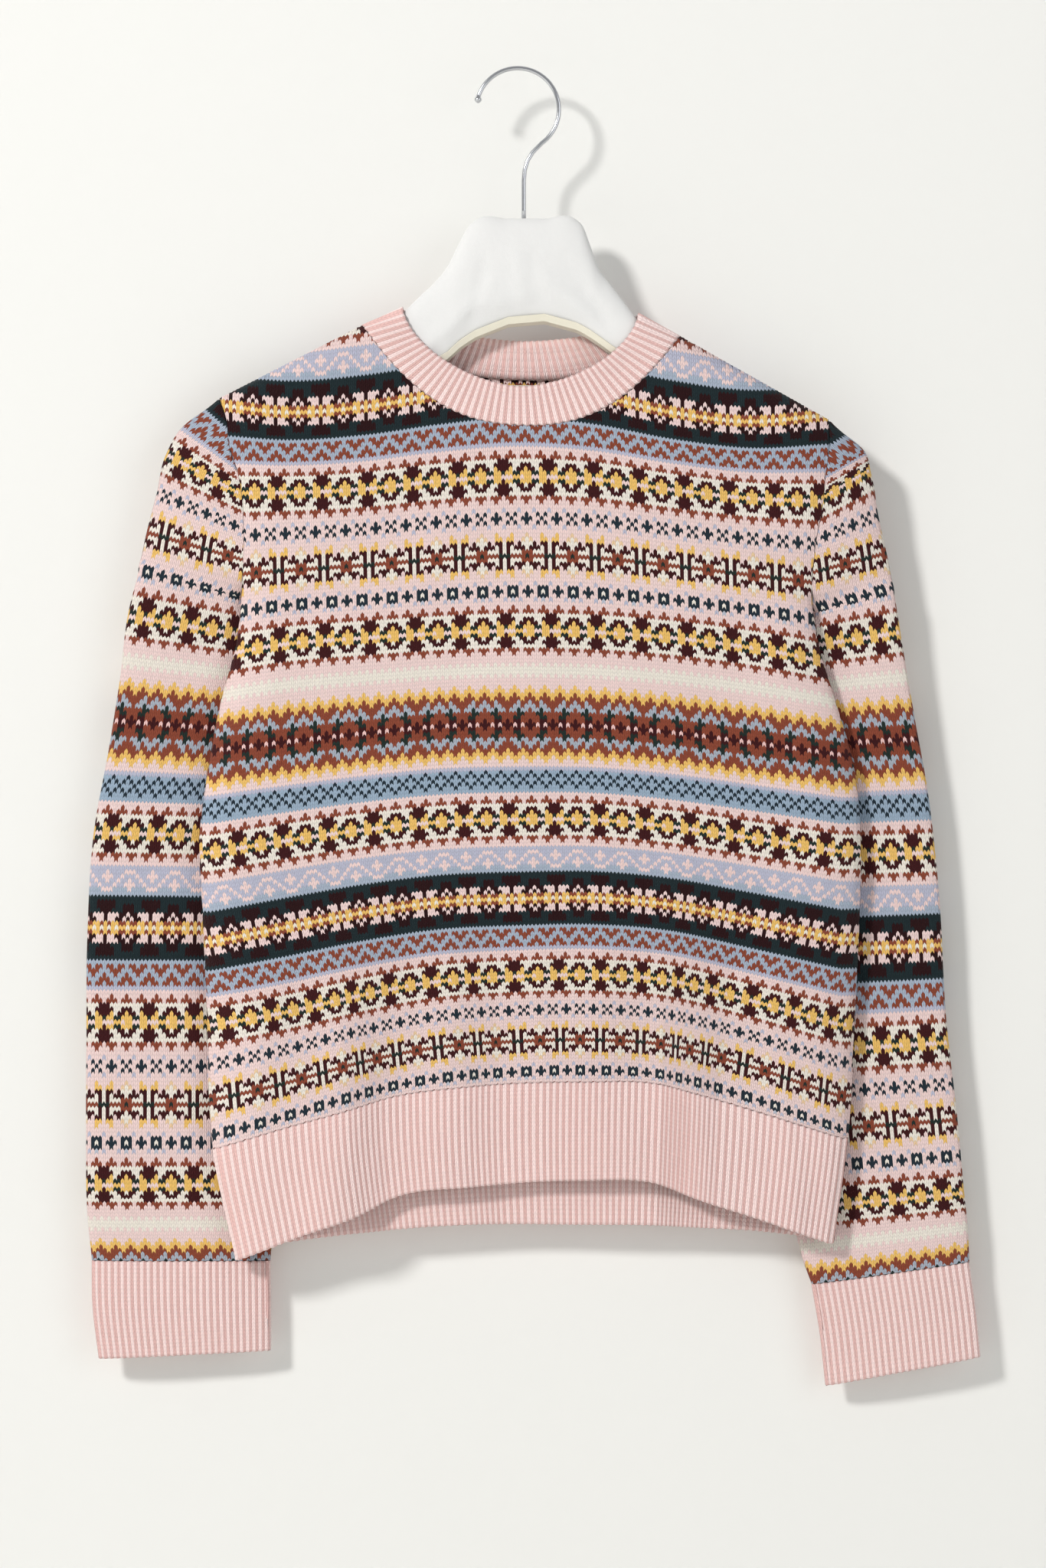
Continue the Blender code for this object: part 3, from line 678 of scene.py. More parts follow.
def neck_edge(edge, angle, drop):
    """A point of the neck's edge: angle 0 at the left neck point, pi at the right one."""
    across = -np.cos(angle)
    down = np.clip(1 - np.abs(across) ** edge.bend, 0, 1) ** edge.close
    x = edge.x + edge.half_width * across
    return x, edge.z + edge.tilt * across - drop * down


def side_edges(z):
    """Where the body's left and right side edges are at a height."""
    return along(BODY, "z", "left", z), along(BODY, "z", "right", z)


def body_share(x, z):
    """Share of the way across the body, from its left side edge to its right one."""
    left, right = side_edges(z)
    return (x - left) / (right - left)


def body_x(share, z):
    """Place across the body for a share of the way."""
    left, right = side_edges(z)
    return left + (right - left) * share


def flattened(turn, power):
    """A flattened tube's section: place across from the outer fold, and depth, for a turn."""
    angle = pi * abs(turn)
    across = np.sign(np.cos(angle)) * abs(np.cos(angle)) ** (2 / power)
    return (1 - across) / 2, np.sign(turn) * abs(np.sin(angle)) ** (2 / power)


def hanger_ring(station):
    """One ring of the hanger's form, from its lower front round by its top."""
    middle = (station.top + station.bottom) / 2
    height = (station.top - station.bottom) / 2
    ring = []
    for side in range(HANGER_SIDES):
        angle = 2 * pi * (side + 0.5) / HANGER_SIDES - pi / 2
        up = np.sign(np.sin(angle)) * abs(np.sin(angle)) ** (2 / HANGER_POWER)
        out = np.sign(np.cos(angle)) * abs(np.cos(angle)) ** (2 / HANGER_POWER)
        ring.append((station.x, HANGER_Y - out * station.half, middle + up * height))
    return ring


def linear(code):
    """A linear colour from its six-figure code."""
    parts = [int(code[k : k + 2], 16) / 255 for k in (0, 2, 4)]
    return tuple(((p + 0.055) / 1.055) ** 2.4 if p > 0.04 else p / 12.92 for p in parts)


def course_charts():
    """For each course from the first, the chart row that it is knitted from, and its start."""
    return [(row, CHART_STARTS.get(band, 0)) for band in BANDS for row in CHARTS[band]]


def knitted(courses, wales):
    """The yarn's letter for each course and wale."""
    charts = course_charts()
    letters = []
    for course in courses:
        row, start = charts[int(np.clip(course - FIRST_COURSE, 0, len(charts) - 1))]
        letters.append([row[(int(wale) + start) % len(row)] for wale in wales])
    return np.array(letters)


def course_z(x, course):
    """Height of a course at a place across the body. A course may be a fraction."""
    numbers = np.array([row.number for row in COURSES], float)
    droops = np.stack([curve(DROOP_X, np.array(row.droop) * MM, x) for row in COURSES])
    place = np.clip(np.searchsorted(numbers, course) - 1, 0, len(COURSES) - 2)
    t = np.clip((course - numbers[place]) / (numbers[place + 1] - numbers[place]), 0, 1)
    upper = np.take_along_axis(droops, place[None], 0)[0]
    lower = np.take_along_axis(droops, place[None] + 1, 0)[0]
    z = np.interp(course, numbers, [row.z for row in COURSES]) + upper + (lower - upper) * t
    last = np.clip((course - numbers[-1]) / (RIB_COURSE - numbers[-1]), 0, 1)
    return z + (along(HEM, "x", "rib_top", x) - z) * last


def wale_x(wale, course):
    """Place of a wale across the body: even in the upper body, gathered towards the hem."""
    middle = np.interp(course, [row.number for row in MIDDLES], [row.x for row in MIDDLES])
    straight = middle + WALE * wale
    numbers = [row.number for row in WALES]
    mid = np.interp(wale, numbers, [row.x_mid for row in WALES])
    hem = np.interp(wale, numbers, [row.x_hem for row in WALES])
    down = np.clip((course - STRAIGHT_TO) / (MIDDLE_COURSE - STRAIGHT_TO), 0, 1)
    last = np.clip((course - MIDDLE_COURSE) / (COURSES[-1].number - MIDDLE_COURSE), 0, 1)
    mixed = straight + (mid - straight) * down
    return mixed + (hem - mixed) * last


def creased(creases, x, z):
    """How far the soft creases stand out at a place."""
    total = 0.0
    for crease in creases:
        run_x, run_z = crease.x_low - crease.x_top, crease.z_low - crease.z_top
        length = np.hypot(run_x, run_z)
        down = ((x - crease.x_top) * run_x + (z - crease.z_top) * run_z) / length**2
        beside = ((x - crease.x_top) * run_z - (z - crease.z_top) * run_x) / length
        ends = np.exp(-((np.clip(abs(down - 0.5) - CREASE_LEVEL, 0, None) / CREASE_FADE) ** 2))
        total = total + crease.reach * ends * np.exp(-((beside / crease.width) ** 2))
    return total


def surface(side, x, z):
    """Depth of the cloth's outer face, with its creases."""
    share = fullness(x, z)
    if side == "front":
        return front_y(x, z) - share * creased(FRONT_CREASES, x, z)
    return back_y(x, z) + share * creased(BACK_CREASES, x, z)


def panel_top(side, x):
    """Upper edge of a panel: the shoulder ridge, or the neckband's outer edge."""
    drop = BAND_OUTER.front_drop if side == "front" else BAND_OUTER.back_drop
    across = np.clip((x - BAND_OUTER.x) / BAND_OUTER.half_width, -1, 1)
    neck = BAND_OUTER.z + BAND_OUTER.tilt * across - drop * (1 - abs(across) ** BAND_OUTER.bend)
    return np.where(abs(x - BAND_OUTER.x) < BAND_OUTER.half_width, neck, ridge(x))


def lattice(first, last, wales_from, wales_to):
    """Course lines and half-wale columns of a lattice, as course and wale numbers."""
    lines = np.arange(first, last + 1) - 0.5
    columns = np.arange(2 * wales_from - 1, 2 * wales_to + 2) / 2
    lattice_columns = np.broadcast_to(columns, (len(lines), len(columns)))
    return lines[:, None] + v_hang(len(columns))[None, :], lattice_columns


def panel_points(side):
    """The front's or back's lattice of points, cut off at its side and upper edges."""
    course, wale = lattice(FIRST_COURSE, RIB_COURSE + 1, FIRST_WALE, LAST_WALE)
    course = np.minimum(course, RIB_COURSE)
    x = wale_x(wale, course)
    z = course_z(x, course)
    x = np.clip(x, *side_edges(z))
    z = np.minimum(course_z(x, course), panel_top(side, x))
    x = np.clip(x, *side_edges(z))
    z = np.minimum(z, panel_top(side, x))
    return np.stack([x, surface(side, x, z), z], axis=-1)


def sleeve_tables(side):
    """A sleeve's cap, its tube, the body edge that it joins, and the sense of its wales."""
    if side == "left":
        return CAP_LEFT, SLEEVE_LEFT, "left", 1
    return CAP_RIGHT, SLEEVE_RIGHT, "right", -1


def cap_samples(side, outer_z, turns):
    """Rings round a sleeve's cap, from the front of the armhole over the outer fold."""
    cap, _, edge, _ = sleeve_tables(side)
    inner_z = along(cap, "outer_z", "inner_z", outer_z)[:, None]
    outer_x = along(cap, "outer_z", "outer_x", outer_z)[:, None]
    outer_y = along(cap, "outer_z", "outer_y", outer_z)[:, None]
    edge_x = along(BODY, "z", edge, inner_z)
    angle = pi * turns[None, :] / 2
    seam = np.where(angle < 0, front_y(edge_x, inner_z), back_y(edge_x, inner_z))
    across = 1 - np.cos(angle)
    x = outer_x + (edge_x - outer_x) * across
    y = outer_y * np.cos(angle) + seam * abs(np.sin(angle))
    z = outer_z[:, None] + (inner_z - outer_z[:, None]) * across
    return np.stack([x, y, z], axis=-1)


def tube_samples(rings, outer_z, turns):
    """Rings round a sleeve or cuff, from the inner fold over the front and round."""
    names = ("outer_x", "outer_y", "inner_x", "inner_z", "inner_y", "half")
    outer_x, outer_y, inner_x, inner_z, inner_y, half = (
        along(rings, "outer_z", name, outer_z)[:, None] for name in names
    )
    across, depth = flattened(turns[None, :], TUBE_POWER)
    x = outer_x + (inner_x - outer_x) * across
    y = outer_y + (inner_y - outer_y) * across + depth * half
    z = outer_z[:, None] + (inner_z - outer_z[:, None]) * across
    y = y + depth * creased(SLEEVE_CREASES, x, z)
    return np.stack([x, y, z], axis=-1)


def sleeve_samples(side, outer_z, turns):
    """Rings down a whole sleeve, its cap blended into its tube."""
    cap, rings, _, _ = sleeve_tables(side)
    end = cap[-1].outer_z
    mix = np.clip((end + CAP_BLEND - outer_z) / CAP_BLEND, 0, 1)[:, None, None]
    mix = mix * mix * (3 - 2 * mix)
    upper = cap_samples(side, np.clip(outer_z, end, cap[0].outer_z), turns)
    lower = tube_samples(rings, outer_z, turns)
    shift = upper[:, len(turns) // 2, None] - lower[:, len(turns) // 2, None]
    return upper * (1 - mix) + (lower + shift * (1 - mix)) * mix


def spread(samples, arcs, shares=False):
    """Points along rings, at distances from their outer fold, or at shares of a half ring."""
    middle = samples.shape[1] // 2
    points = np.zeros((*arcs.shape, 3))
    for row, ring in enumerate(samples):
        steps = np.linalg.norm(np.diff(ring, axis=0), axis=1)
        length = np.concatenate([[0], np.cumsum(steps)])
        length -= length[middle]
        places = arcs[row]
        if shares:
            places = np.where(places < 0, -places * length[0], places * length[-1])
        for axis in range(3):
            points[row, :, axis] = np.interp(places, length, ring[:, axis])
    return points


def sleeve_points(side):
    """A sleeve's lattice of points, its wales spaced from the outer fold both ways round."""
    last = SLEEVE_COURSES[-1].number
    sign = sleeve_tables(side)[3]
    course, wale = lattice(FIRST_SLEEVE_COURSE, last + 1, -SLEEVE_WALES, SLEEVE_WALES)
    course = np.minimum(course, last)
    numbers = [row.number for row in SLEEVE_COURSES]
    heights = [getattr(row, side) for row in SLEEVE_COURSES]
    turns = np.linspace(-1, 1, RING_SAMPLES)
    top = sleeve_tables(side)[0][0].outer_z
    points = np.zeros((*course.shape, 3))
    for start in (0, 1):
        outer_z = np.minimum(np.interp(course[:, start], numbers, heights), top)
        samples = sleeve_samples(side, outer_z, turns)
        points[:, start::2] = spread(samples, -sign * wale[:, start::2] * WALE)
    return points


def rib_lines(length):
    """Shares down a rib for the lines between its courses, evenly spaced."""
    return np.linspace(0, 1, int(round(length / RIB_PITCH)) + 1)


def v_hang(count):
    """How far each half-wale column hangs, in courses: a V's middle low, its sides high."""
    return np.where(np.arange(count) % 2 == 1, V_DROP, -V_DROP)


def v_share(part):
    """Share of the V's drop at a place down a rib: nothing at its two ends."""
    return np.clip(4 * part * (1 - part), 0, 1) ** V_GROWTH


def wrapped(outer, inwards, back_lines):
    """A rib's wall from its outer points: down, round the lower edge, and up its inner face."""
    down = outer[-1] - outer[-2]
    down = down / np.maximum(np.linalg.norm(down, axis=-1, keepdims=True), 1e-9)
    edge = [outer[-1] + inwards[-1] * place + down * EDGE_REACH for place in EDGE_PLACES]
    picks = np.linspace(len(outer) - 1, 0, back_lines).round().astype(int)
    return np.concatenate([outer, np.stack(edge), outer[picks] + inwards[picks]])


def hem_points(side):
    """The hem rib's wall under a panel, as wide as the body at each height."""
    wale = np.arange(2 * FIRST_WALE - 1, 2 * LAST_WALE + 2) / 2
    x = wale_x(wale, RIB_COURSE)
    share = np.clip(body_share(x, along(HEM, "x", "rib_top", x)), 0, 1)
    x = body_x(share, along(HEM, "x", "rib_top", x))
    top = along(HEM, "x", "rib_top", x)
    low = along(HEM, "x", side, x)
    hang = v_hang(len(wale)) * RIB_PITCH
    rows = []
    for part in rib_lines(abs(low - top).mean()):
        z = top + (low - top) * part - hang * v_share(part)
        line_x = body_x(share, z)
        rows.append(np.stack([line_x, surface(side, line_x, z), z], axis=-1))
    outer = np.stack(rows)
    inwards = np.zeros_like(outer)
    depth = np.minimum(RIB_THICK, np.maximum(abs(outer[..., 1]) - 2 * SEAM_LIFT, 0) * WALL_SHARE)
    inwards[..., 1] = depth if side == "front" else -depth
    return wrapped(outer, inwards, len(outer)), len(outer)


def cuff_points(side):
    """A cuff's wall, with the wales even round its ring."""
    rings = CUFF_LEFT if side == "left" else CUFF_RIGHT
    sign = sleeve_tables(side)[3]
    turns = np.linspace(-1, 1, RING_SAMPLES)
    half = abs(rings[1].outer_x - rings[1].inner_x) / CUFF_WALE
    count = 2 * int(round(half / 2))
    wale = np.arange(-2 * count, 2 * count + 1) / 2
    parts = rib_lines(abs(rings[0].outer_z - rings[-1].outer_z))
    step = (rings[-1].outer_z - rings[0].outer_z) / (len(parts) - 1)
    points = np.zeros((len(parts), len(wale), 3))
    for start, hang in ((0, -V_DROP), (1, V_DROP)):
        outer_z = rings[0].outer_z + step * (np.arange(len(parts)) + hang * v_share(parts))
        share = np.broadcast_to(-sign * wale[start::2] / count, (len(parts), len(wale[start::2])))
        points[:, start::2] = spread(tube_samples(rings, outer_z, turns), share, shares=True)
    middle = (points.max(axis=1, keepdims=True) + points.min(axis=1, keepdims=True)) / 2
    inwards = np.zeros_like(points)
    inwards[..., 1] = -np.sign(points[..., 1] - middle[..., 1]) * CUFF_THICK
    aside = (middle[..., 0] - points[..., 0]) * CUFF_SIDE_SHARE
    inwards[..., 0] = np.clip(aside, -CUFF_SIDE_THICK, CUFF_SIDE_THICK)
    return wrapped(points, inwards, CUFF_BACK_LINES), len(points)


def band_points():
    """The neckband round the neck: the front from left to right, then the back."""
    angles = np.linspace(0, pi, NECK_SAMPLES)
    route = []
    for side in ("front", "back"):
        turn = angles if side == "front" else angles[::-1]
        outer = np.stack(neck_edge(BAND_OUTER, turn, getattr(BAND_OUTER, side + "_drop")))
        inner = np.stack(neck_edge(BAND_INNER, turn, getattr(BAND_INNER, side + "_drop")))
        route.append((outer, inner))
    outer = np.concatenate([part[0] for part in route], axis=1)
    inner = np.concatenate([part[1] for part in route], axis=1)
    middle = (outer + inner) / 2
    length = np.concatenate([[0], np.cumsum(np.hypot(*np.diff(middle, axis=1)))])
    count = 2 * int(round(length[-1] / BAND_WALE / 2))
    places = np.linspace(0, length[-1], 2 * count + 1)[:-1]
    outer = np.stack([np.interp(places, length, axis) for axis in outer])
    inner = np.stack([np.interp(places, length, axis) for axis in inner])
    half_way = length[len(angles) - 1]
    front = places < half_way
    parts = rib_lines(np.hypot(*(outer - inner)).mean())
    hang = v_hang(len(places)) / (len(parts) - 1)
    rows = []
    for part in parts:
        x, z = outer + (inner - outer) * (part + hang * v_share(part))
        seat = np.minimum(z, ridge(x))
        y = np.where(front, surface("front", x, seat), surface("back", x, seat))
        rows.append(np.stack([x, y, z], axis=-1))
    face = np.stack(rows)
    inwards = np.zeros_like(face)
    depth = np.minimum(RIB_THICK, abs(face[..., 1]) * WALL_SHARE)
    inwards[..., 1] = np.where(front[None, :], depth, -depth)
    return wrapped(face, inwards, BAND_BACK_LINES), len(face)


def stockinette_lift(shape):
    """Relief of plain knitting: a V's middle stands up and the valley between wales lies low."""
    middle = np.arange(shape[1]) % 2 == 1
    return np.broadcast_to(np.where(middle, 1.0, -1.0), shape)


def rib_lift(shape, outer_lines):
    """Relief of one by one rib, turned over on the inner face."""
    across = np.array(RIB_WAVE)[np.arange(shape[1]) % len(RIB_WAVE)]
    faces = np.where(np.arange(shape[0]) < outer_lines, 1.0, INNER_RELIEF)
    faces[outer_lines : outer_lines + len(EDGE_PLACES)] = EDGE_RELIEF
    return faces[:, None] * across[None, :]


def add_lattice(name, points, lift, letters, turned=False, round_rows=False, round_columns=False):
    """A mesh through a lattice of points, with its yarn colours and its maps."""
    rows, columns = points.shape[:2]
    number = np.arange(rows * columns).reshape(rows, columns)
    row = np.arange(rows if round_rows else rows - 1)
    column = np.arange(columns if round_columns else columns - 1)
    i, j = (axis.ravel() for axis in np.meshgrid(row, column, indexing="ij"))
    after_i, after_j = (i + 1) % rows, (j + 1) % columns
    corners = (number[i, j], number[after_i, j], number[after_i, after_j], number[i, after_j])
    faces = np.stack(corners, 1)
    places = ((j, i), (j, i + 1), (j + 1, i + 1), (j + 1, i))
    maps = np.stack([np.stack(place, 1) for place in places], 1).astype(float)
    flat = points.reshape(-1, 3)
    across = np.cross(flat[faces[:, 2]] - flat[faces[:, 0]], flat[faces[:, 3]] - flat[faces[:, 1]])
    kept = np.linalg.norm(across, axis=1) > SMALLEST_FACE
    faces, maps, i, j = faces[kept], maps[kept], i[kept], j[kept]
    if turned:
        faces, maps = faces[:, ::-1], maps[:, ::-1]
    used, faces = np.unique(faces, return_inverse=True)
    faces = faces.reshape(-1, 4)
    mesh = bpy.data.meshes.new(name)
    mesh.from_pydata(flat[used].tolist(), [], faces.tolist())
    mesh.attributes.new("lift", "FLOAT", "POINT").data.foreach_set("value", lift.ravel()[used])
    yarns = bpy.context.scene.jumper_yarns
    palette = {letter: (*getattr(yarns, title), 1) for letter, (title, _) in YARNS.items()}
    picks = letters[i % len(letters), (j + 1) // 2 % letters.shape[1]]
    cells = np.array([palette[letter] for letter in picks])
    yarn = mesh.color_attributes.new("yarn", "FLOAT_COLOR", "CORNER")
    yarn.data.foreach_set("color", np.repeat(cells, 4, axis=0).ravel())
    stitches = mesh.uv_layers.new(name="stitches")
    stitches.data.foreach_set("uv", maps.ravel())
    bake = mesh.uv_layers.new(name="OFBake")
    bake.data.foreach_set("uv", (maps / (columns, rows)).ravel())
    cleaned(mesh, MERGE, turn=False)
    return add_object(name, mesh)


def cleaned(mesh, merge=0.0, turn=True):
    """Joins a mesh's doubled points, turns its faces outwards, and shades it smooth."""
    shape = bmesh.new()
    shape.from_mesh(mesh)
    if merge:
        bmesh.ops.remove_doubles(shape, verts=shape.verts, dist=merge)
    if turn:
        bmesh.ops.recalc_face_normals(shape, faces=shape.faces)
    shape.to_mesh(mesh)
    shape.free()
    mesh.shade_smooth()


def add_object(name, data):
    item = bpy.data.objects.new(name, data)
    bpy.context.scene.collection.objects.link(item)
    return item


def color_property(words, description, code):
    """A colour setting whose default is a six-figure code."""
    return bpy.props.FloatVectorProperty(
        name=words,
        description=description,
        subtype="COLOR",
        size=3,
        min=0.0,
        max=1.0,
        default=linear(code),
    )


def length_property(words, description, default):
    """A length setting in metres."""
    return bpy.props.FloatProperty(
        name=words, description=description, default=default, min=0.0, unit="LENGTH"
    )


def yarn_property(name, code):
    words = name.replace("_", " ").capitalize()
    return color_property(words, words + " yarn", code)


class JumperYarns(bpy.types.PropertyGroup):
    """The yarns' colours, and the painted shade of the ribs' gaps."""

    __annotations__ = {name: yarn_property(name, code) for name, code in YARNS.values()}


class JumperKnit(bpy.types.PropertyGroup):
    """Relief and haze of the knitting."""

    stitch_relief: length_property(
        "Stitch relief", "How far a stitch's middle stands above the valleys beside it", 0.00016
    )
    rib_relief: length_property("Rib relief", "How far a rib stands above its gap", 0.00045)
    unevenness: length_property("Unevenness", "How far the cloth wanders between stitches", 0.0003)
    yarn_bump: length_property("Yarn bump", "Height of a yarn's round form", 0.0005)


class JumperStage(bpy.types.PropertyGroup):
    """The room that the jumper is shown in."""

    wall: color_property("Wall", "Colour of the wall and floor", "E2E2DF")
    wall_gap: length_property("Wall gap", "Distance from the cloth's back to the wall", 0.010)
    key_power: bpy.props.FloatProperty(
        name="Key light", description="Power of the key light in watts", default=165.0
    )


def new_group(name, inputs, outputs):
    """A shader group with its own sockets: name, kind and default for each input."""
    tree = bpy.data.node_groups.new(name, "ShaderNodeTree")
    for title, kind, default in inputs:
        socket = tree.interface.new_socket(title, in_out="INPUT", socket_type=kind)
        if default is not None:
            socket.default_value = default
    for title, kind in outputs:
        tree.interface.new_socket(title, in_out="OUTPUT", socket_type=kind)
    return tree, tree.nodes.new("NodeGroupInput"), tree.nodes.new("NodeGroupOutput")


def fill(tree, socket, value):
    """Links a socket to another one, or sets it to a value."""
    if isinstance(value, bpy.types.NodeSocket):
        tree.links.new(value, socket)
    else:
        socket.default_value = value


def new_node(tree, kind, **values):
    """A node whose inputs are filled by name, with underscores for spaces in the names."""
    node = tree.nodes.new(kind)
    for title, value in values.items():
        fill(tree, node.inputs[title.replace("_", " ")], value)
    return node


def maths(tree, operation, *values):
    """The result of a Math node."""
    node = tree.nodes.new("ShaderNodeMath")
    node.operation = operation
    for socket, value in zip(node.inputs, values):
        fill(tree, socket, value)
    return node.outputs[0]


def times(tree, first, second):
    return maths(tree, "MULTIPLY", first, second)


def scaled(tree, vector, factor):
    """A vector or colour times a factor."""
    node = tree.nodes.new("ShaderNodeVectorMath")
    node.operation = "SCALE"
    fill(tree, node.inputs[0], vector)
    fill(tree, node.inputs["Scale"], factor)
    return node.outputs[0]


def noise(tree, vector, scale, detail=2.0):
    """A noise texture's value at a place."""
    return new_node(tree, "ShaderNodeTexNoise", Vector=vector, Scale=scale, Detail=detail).outputs["Fac"]


def object_place(tree):
    return tree.nodes.new("ShaderNodeTexCoord").outputs["Object"]


def separated(tree, vector):
    return new_node(tree, "ShaderNodeSeparateXYZ", Vector=vector).outputs


def wave(tree, value, rate):
    """The sine of a value times a rate."""
    return maths(tree, "SINE", times(tree, value, rate))


def heather_group():
    """Mottles a yarn's colour: fine fibres, stitch by stitch tone and a soft wash."""
    inputs = (("Color", "NodeSocketColor", None), ("Amount", "NodeSocketFloat", 0.12))
    tree, start, end = new_group("wool_heather", inputs, (("Color", "NodeSocketColor"),))
    place = object_place(tree)
    mix = -sum(row.weight for row in MOTTLES) / 2
    for row in MOTTLES:
        mix = maths(tree, "ADD", times(tree, noise(tree, place, row.scale), row.weight), mix)
    factor = maths(tree, "ADD", times(tree, mix, start.outputs["Amount"]), 1.0)
    fill(tree, end.inputs["Color"], scaled(tree, start.outputs["Color"], factor))
    return tree


def stitch_group():
    """The round form of the yarn in a stitch's two legs, from the stitch map, as a height for the bump and as
    a painted shade that darkens the grooves between legs and courses.
    """
    outputs = (("Height", "NodeSocketFloat"), ("Shade", "NodeSocketFloat"))
    tree, start, end = new_group("stitch_form", (("Depth", "NodeSocketFloat", 0.5),), outputs)
    chart = tree.nodes.new("ShaderNodeUVMap")
    chart.uv_map = "stitches"
    parts = separated(tree, chart.outputs["UV"])
    across = maths(tree, "POWER", maths(tree, "ABSOLUTE", wave(tree, parts[0], pi)), LEG_ROUND)
    down = maths(tree, "POWER", maths(tree, "ABSOLUTE", wave(tree, parts[1], pi)), COURSE_ROUND)
    leg = times(tree, across, down)
    fibres = noise(tree, object_place(tree), FIBRE_SCALE)
    fill(tree, end.inputs["Height"], maths(tree, "ADD", leg, times(tree, fibres, FIBRE_HEIGHT)))
    # Painted shade: the colour is darkened where the leg's round form falls away, in the grooves between legs
    # and between courses.
    shade = times(tree, maths(tree, "SUBTRACT", leg, 1.0), start.outputs["Depth"])
    fill(tree, end.inputs["Shade"], maths(tree, "ADD", shade, 1.0))
    return tree


def group_node(tree, name, build):
    """A group's node in a material, built at its first use."""
    node = tree.nodes.new("ShaderNodeGroup")
    node.node_tree = bpy.data.node_groups.get(name) or build()
    return node


def plain_material(name, color, roughness, **values):
    """A material of one colour, with its tree and its shader."""
    material = bpy.data.materials.new(name)
    material.use_nodes = True
    tree = material.node_tree
    shader = tree.nodes["Principled BSDF"]
    values = {"Base_Color": (*color, 1), "Roughness": roughness, **values}
    for title, value in values.items():
        fill(tree, shader.inputs[title.replace("_", " ")], value)
    return material, tree, shader


def add_bump(tree, shader, height, distance, strength=1.0):
    bump = new_node(tree, "ShaderNodeBump", Height=height, Distance=distance, Strength=strength)
    fill(tree, shader.inputs["Normal"], bump.outputs["Normal"])


def wool_material(name, painted_shade_depth, mottle):
    """Knitted wool in the lattice's own yarn colours, darkened by the stitch form's painted shade in its
    grooves, soft and matt with a haze of fibres.
    """
    haze = {"Specular_IOR_Level": 0.1, "Sheen_Weight": 0.04, "Sheen_Roughness": 0.6}
    material, tree, shader = plain_material(name, WOOL_BASE, 0.9, **haze)
    yarn = tree.nodes.new("ShaderNodeAttribute")
    yarn.attribute_name = "yarn"
    heather = group_node(tree, "wool_heather", heather_group)
    fill(tree, heather.inputs["Amount"], mottle)
    fill(tree, heather.inputs["Color"], yarn.outputs["Color"])
    form = group_node(tree, "stitch_form", stitch_group)
    fill(tree, form.inputs["Depth"], painted_shade_depth)
    shaded = scaled(tree, heather.outputs["Color"], form.outputs["Shade"])
    fill(tree, shader.inputs["Base Color"], shaded)
    add_bump(tree, shader, form.outputs["Height"], bpy.context.scene.jumper_knit.yarn_bump)
    return material


def kept_wool(name, painted_shade_depth, mottle):
    """A wool that is made at its first use."""
    return bpy.data.materials.get(name) or wool_material(name, painted_shade_depth, mottle)


def knit_material():
    return kept_wool("stranded_wool", painted_shade_depth=0.22, mottle=0.16)


def rib_material():
    return kept_wool("ribbed_wool", painted_shade_depth=0.14, mottle=0.10)


def tape_material():
    """Matt cream tape with a fine plain weave."""
    material, tree, shader = plain_material("woven_tape", linear("E9E4D2"), roughness=0.8)
    parts = separated(tree, object_place(tree))
    weave = times(tree, wave(tree, parts[0], WEAVE_RATE), wave(tree, parts[2], WEAVE_RATE))
    add_bump(tree, shader, weave, distance=0.00008)
    return material


def cover_material():
    """White cotton jersey, fine and matt, with a faint crumple."""
    material, tree, shader = plain_material("cotton_jersey", linear("DADAD9"), 0.85, Sheen_Weight=0.1)
    place = object_place(tree)
    fine = times(tree, noise(tree, place, scale=1800.0), 0.12)
    crumple = noise(tree, place, scale=60.0, detail=3.0)
    add_bump(tree, shader, maths(tree, "ADD", fine, crumple), distance=0.0012, strength=0.6)
    return material


def steel_material():
    """Polished steel wire with faint drawn lines."""
    material, tree, shader = plain_material("drawn_wire", linear("C9CBCF"), roughness=0.16, Metallic=1.0)
    streak = noise(tree, object_place(tree), scale=900.0, detail=3.0)
    fill(tree, shader.inputs["Roughness"], maths(tree, "ADD", times(tree, streak, 0.14), 0.09))
    return material


def wall_material(color):
    """A matt wall that is clear from behind, and lets light through to the cloth's back."""
    material, tree, shader = plain_material("stage_wall", color, STAGE_ROUGHNESS, Specular_IOR_Level=0.1)
    clear = tree.nodes.new("ShaderNodeBsdfTransparent")
    behind = tree.nodes.new("ShaderNodeNewGeometry").outputs["Backfacing"]
    shadow_ray = tree.nodes.new("ShaderNodeLightPath").outputs["Is Shadow Ray"]
    mix = new_node(tree, "ShaderNodeMixShader", Fac=maths(tree, "MAXIMUM", behind, shadow_ray))
    fill(tree, mix.inputs[1], shader.outputs[0])
    fill(tree, mix.inputs[2], clear.outputs[0])
    fill(tree, tree.nodes["Material Output"].inputs["Surface"], mix.outputs[0])
    return material


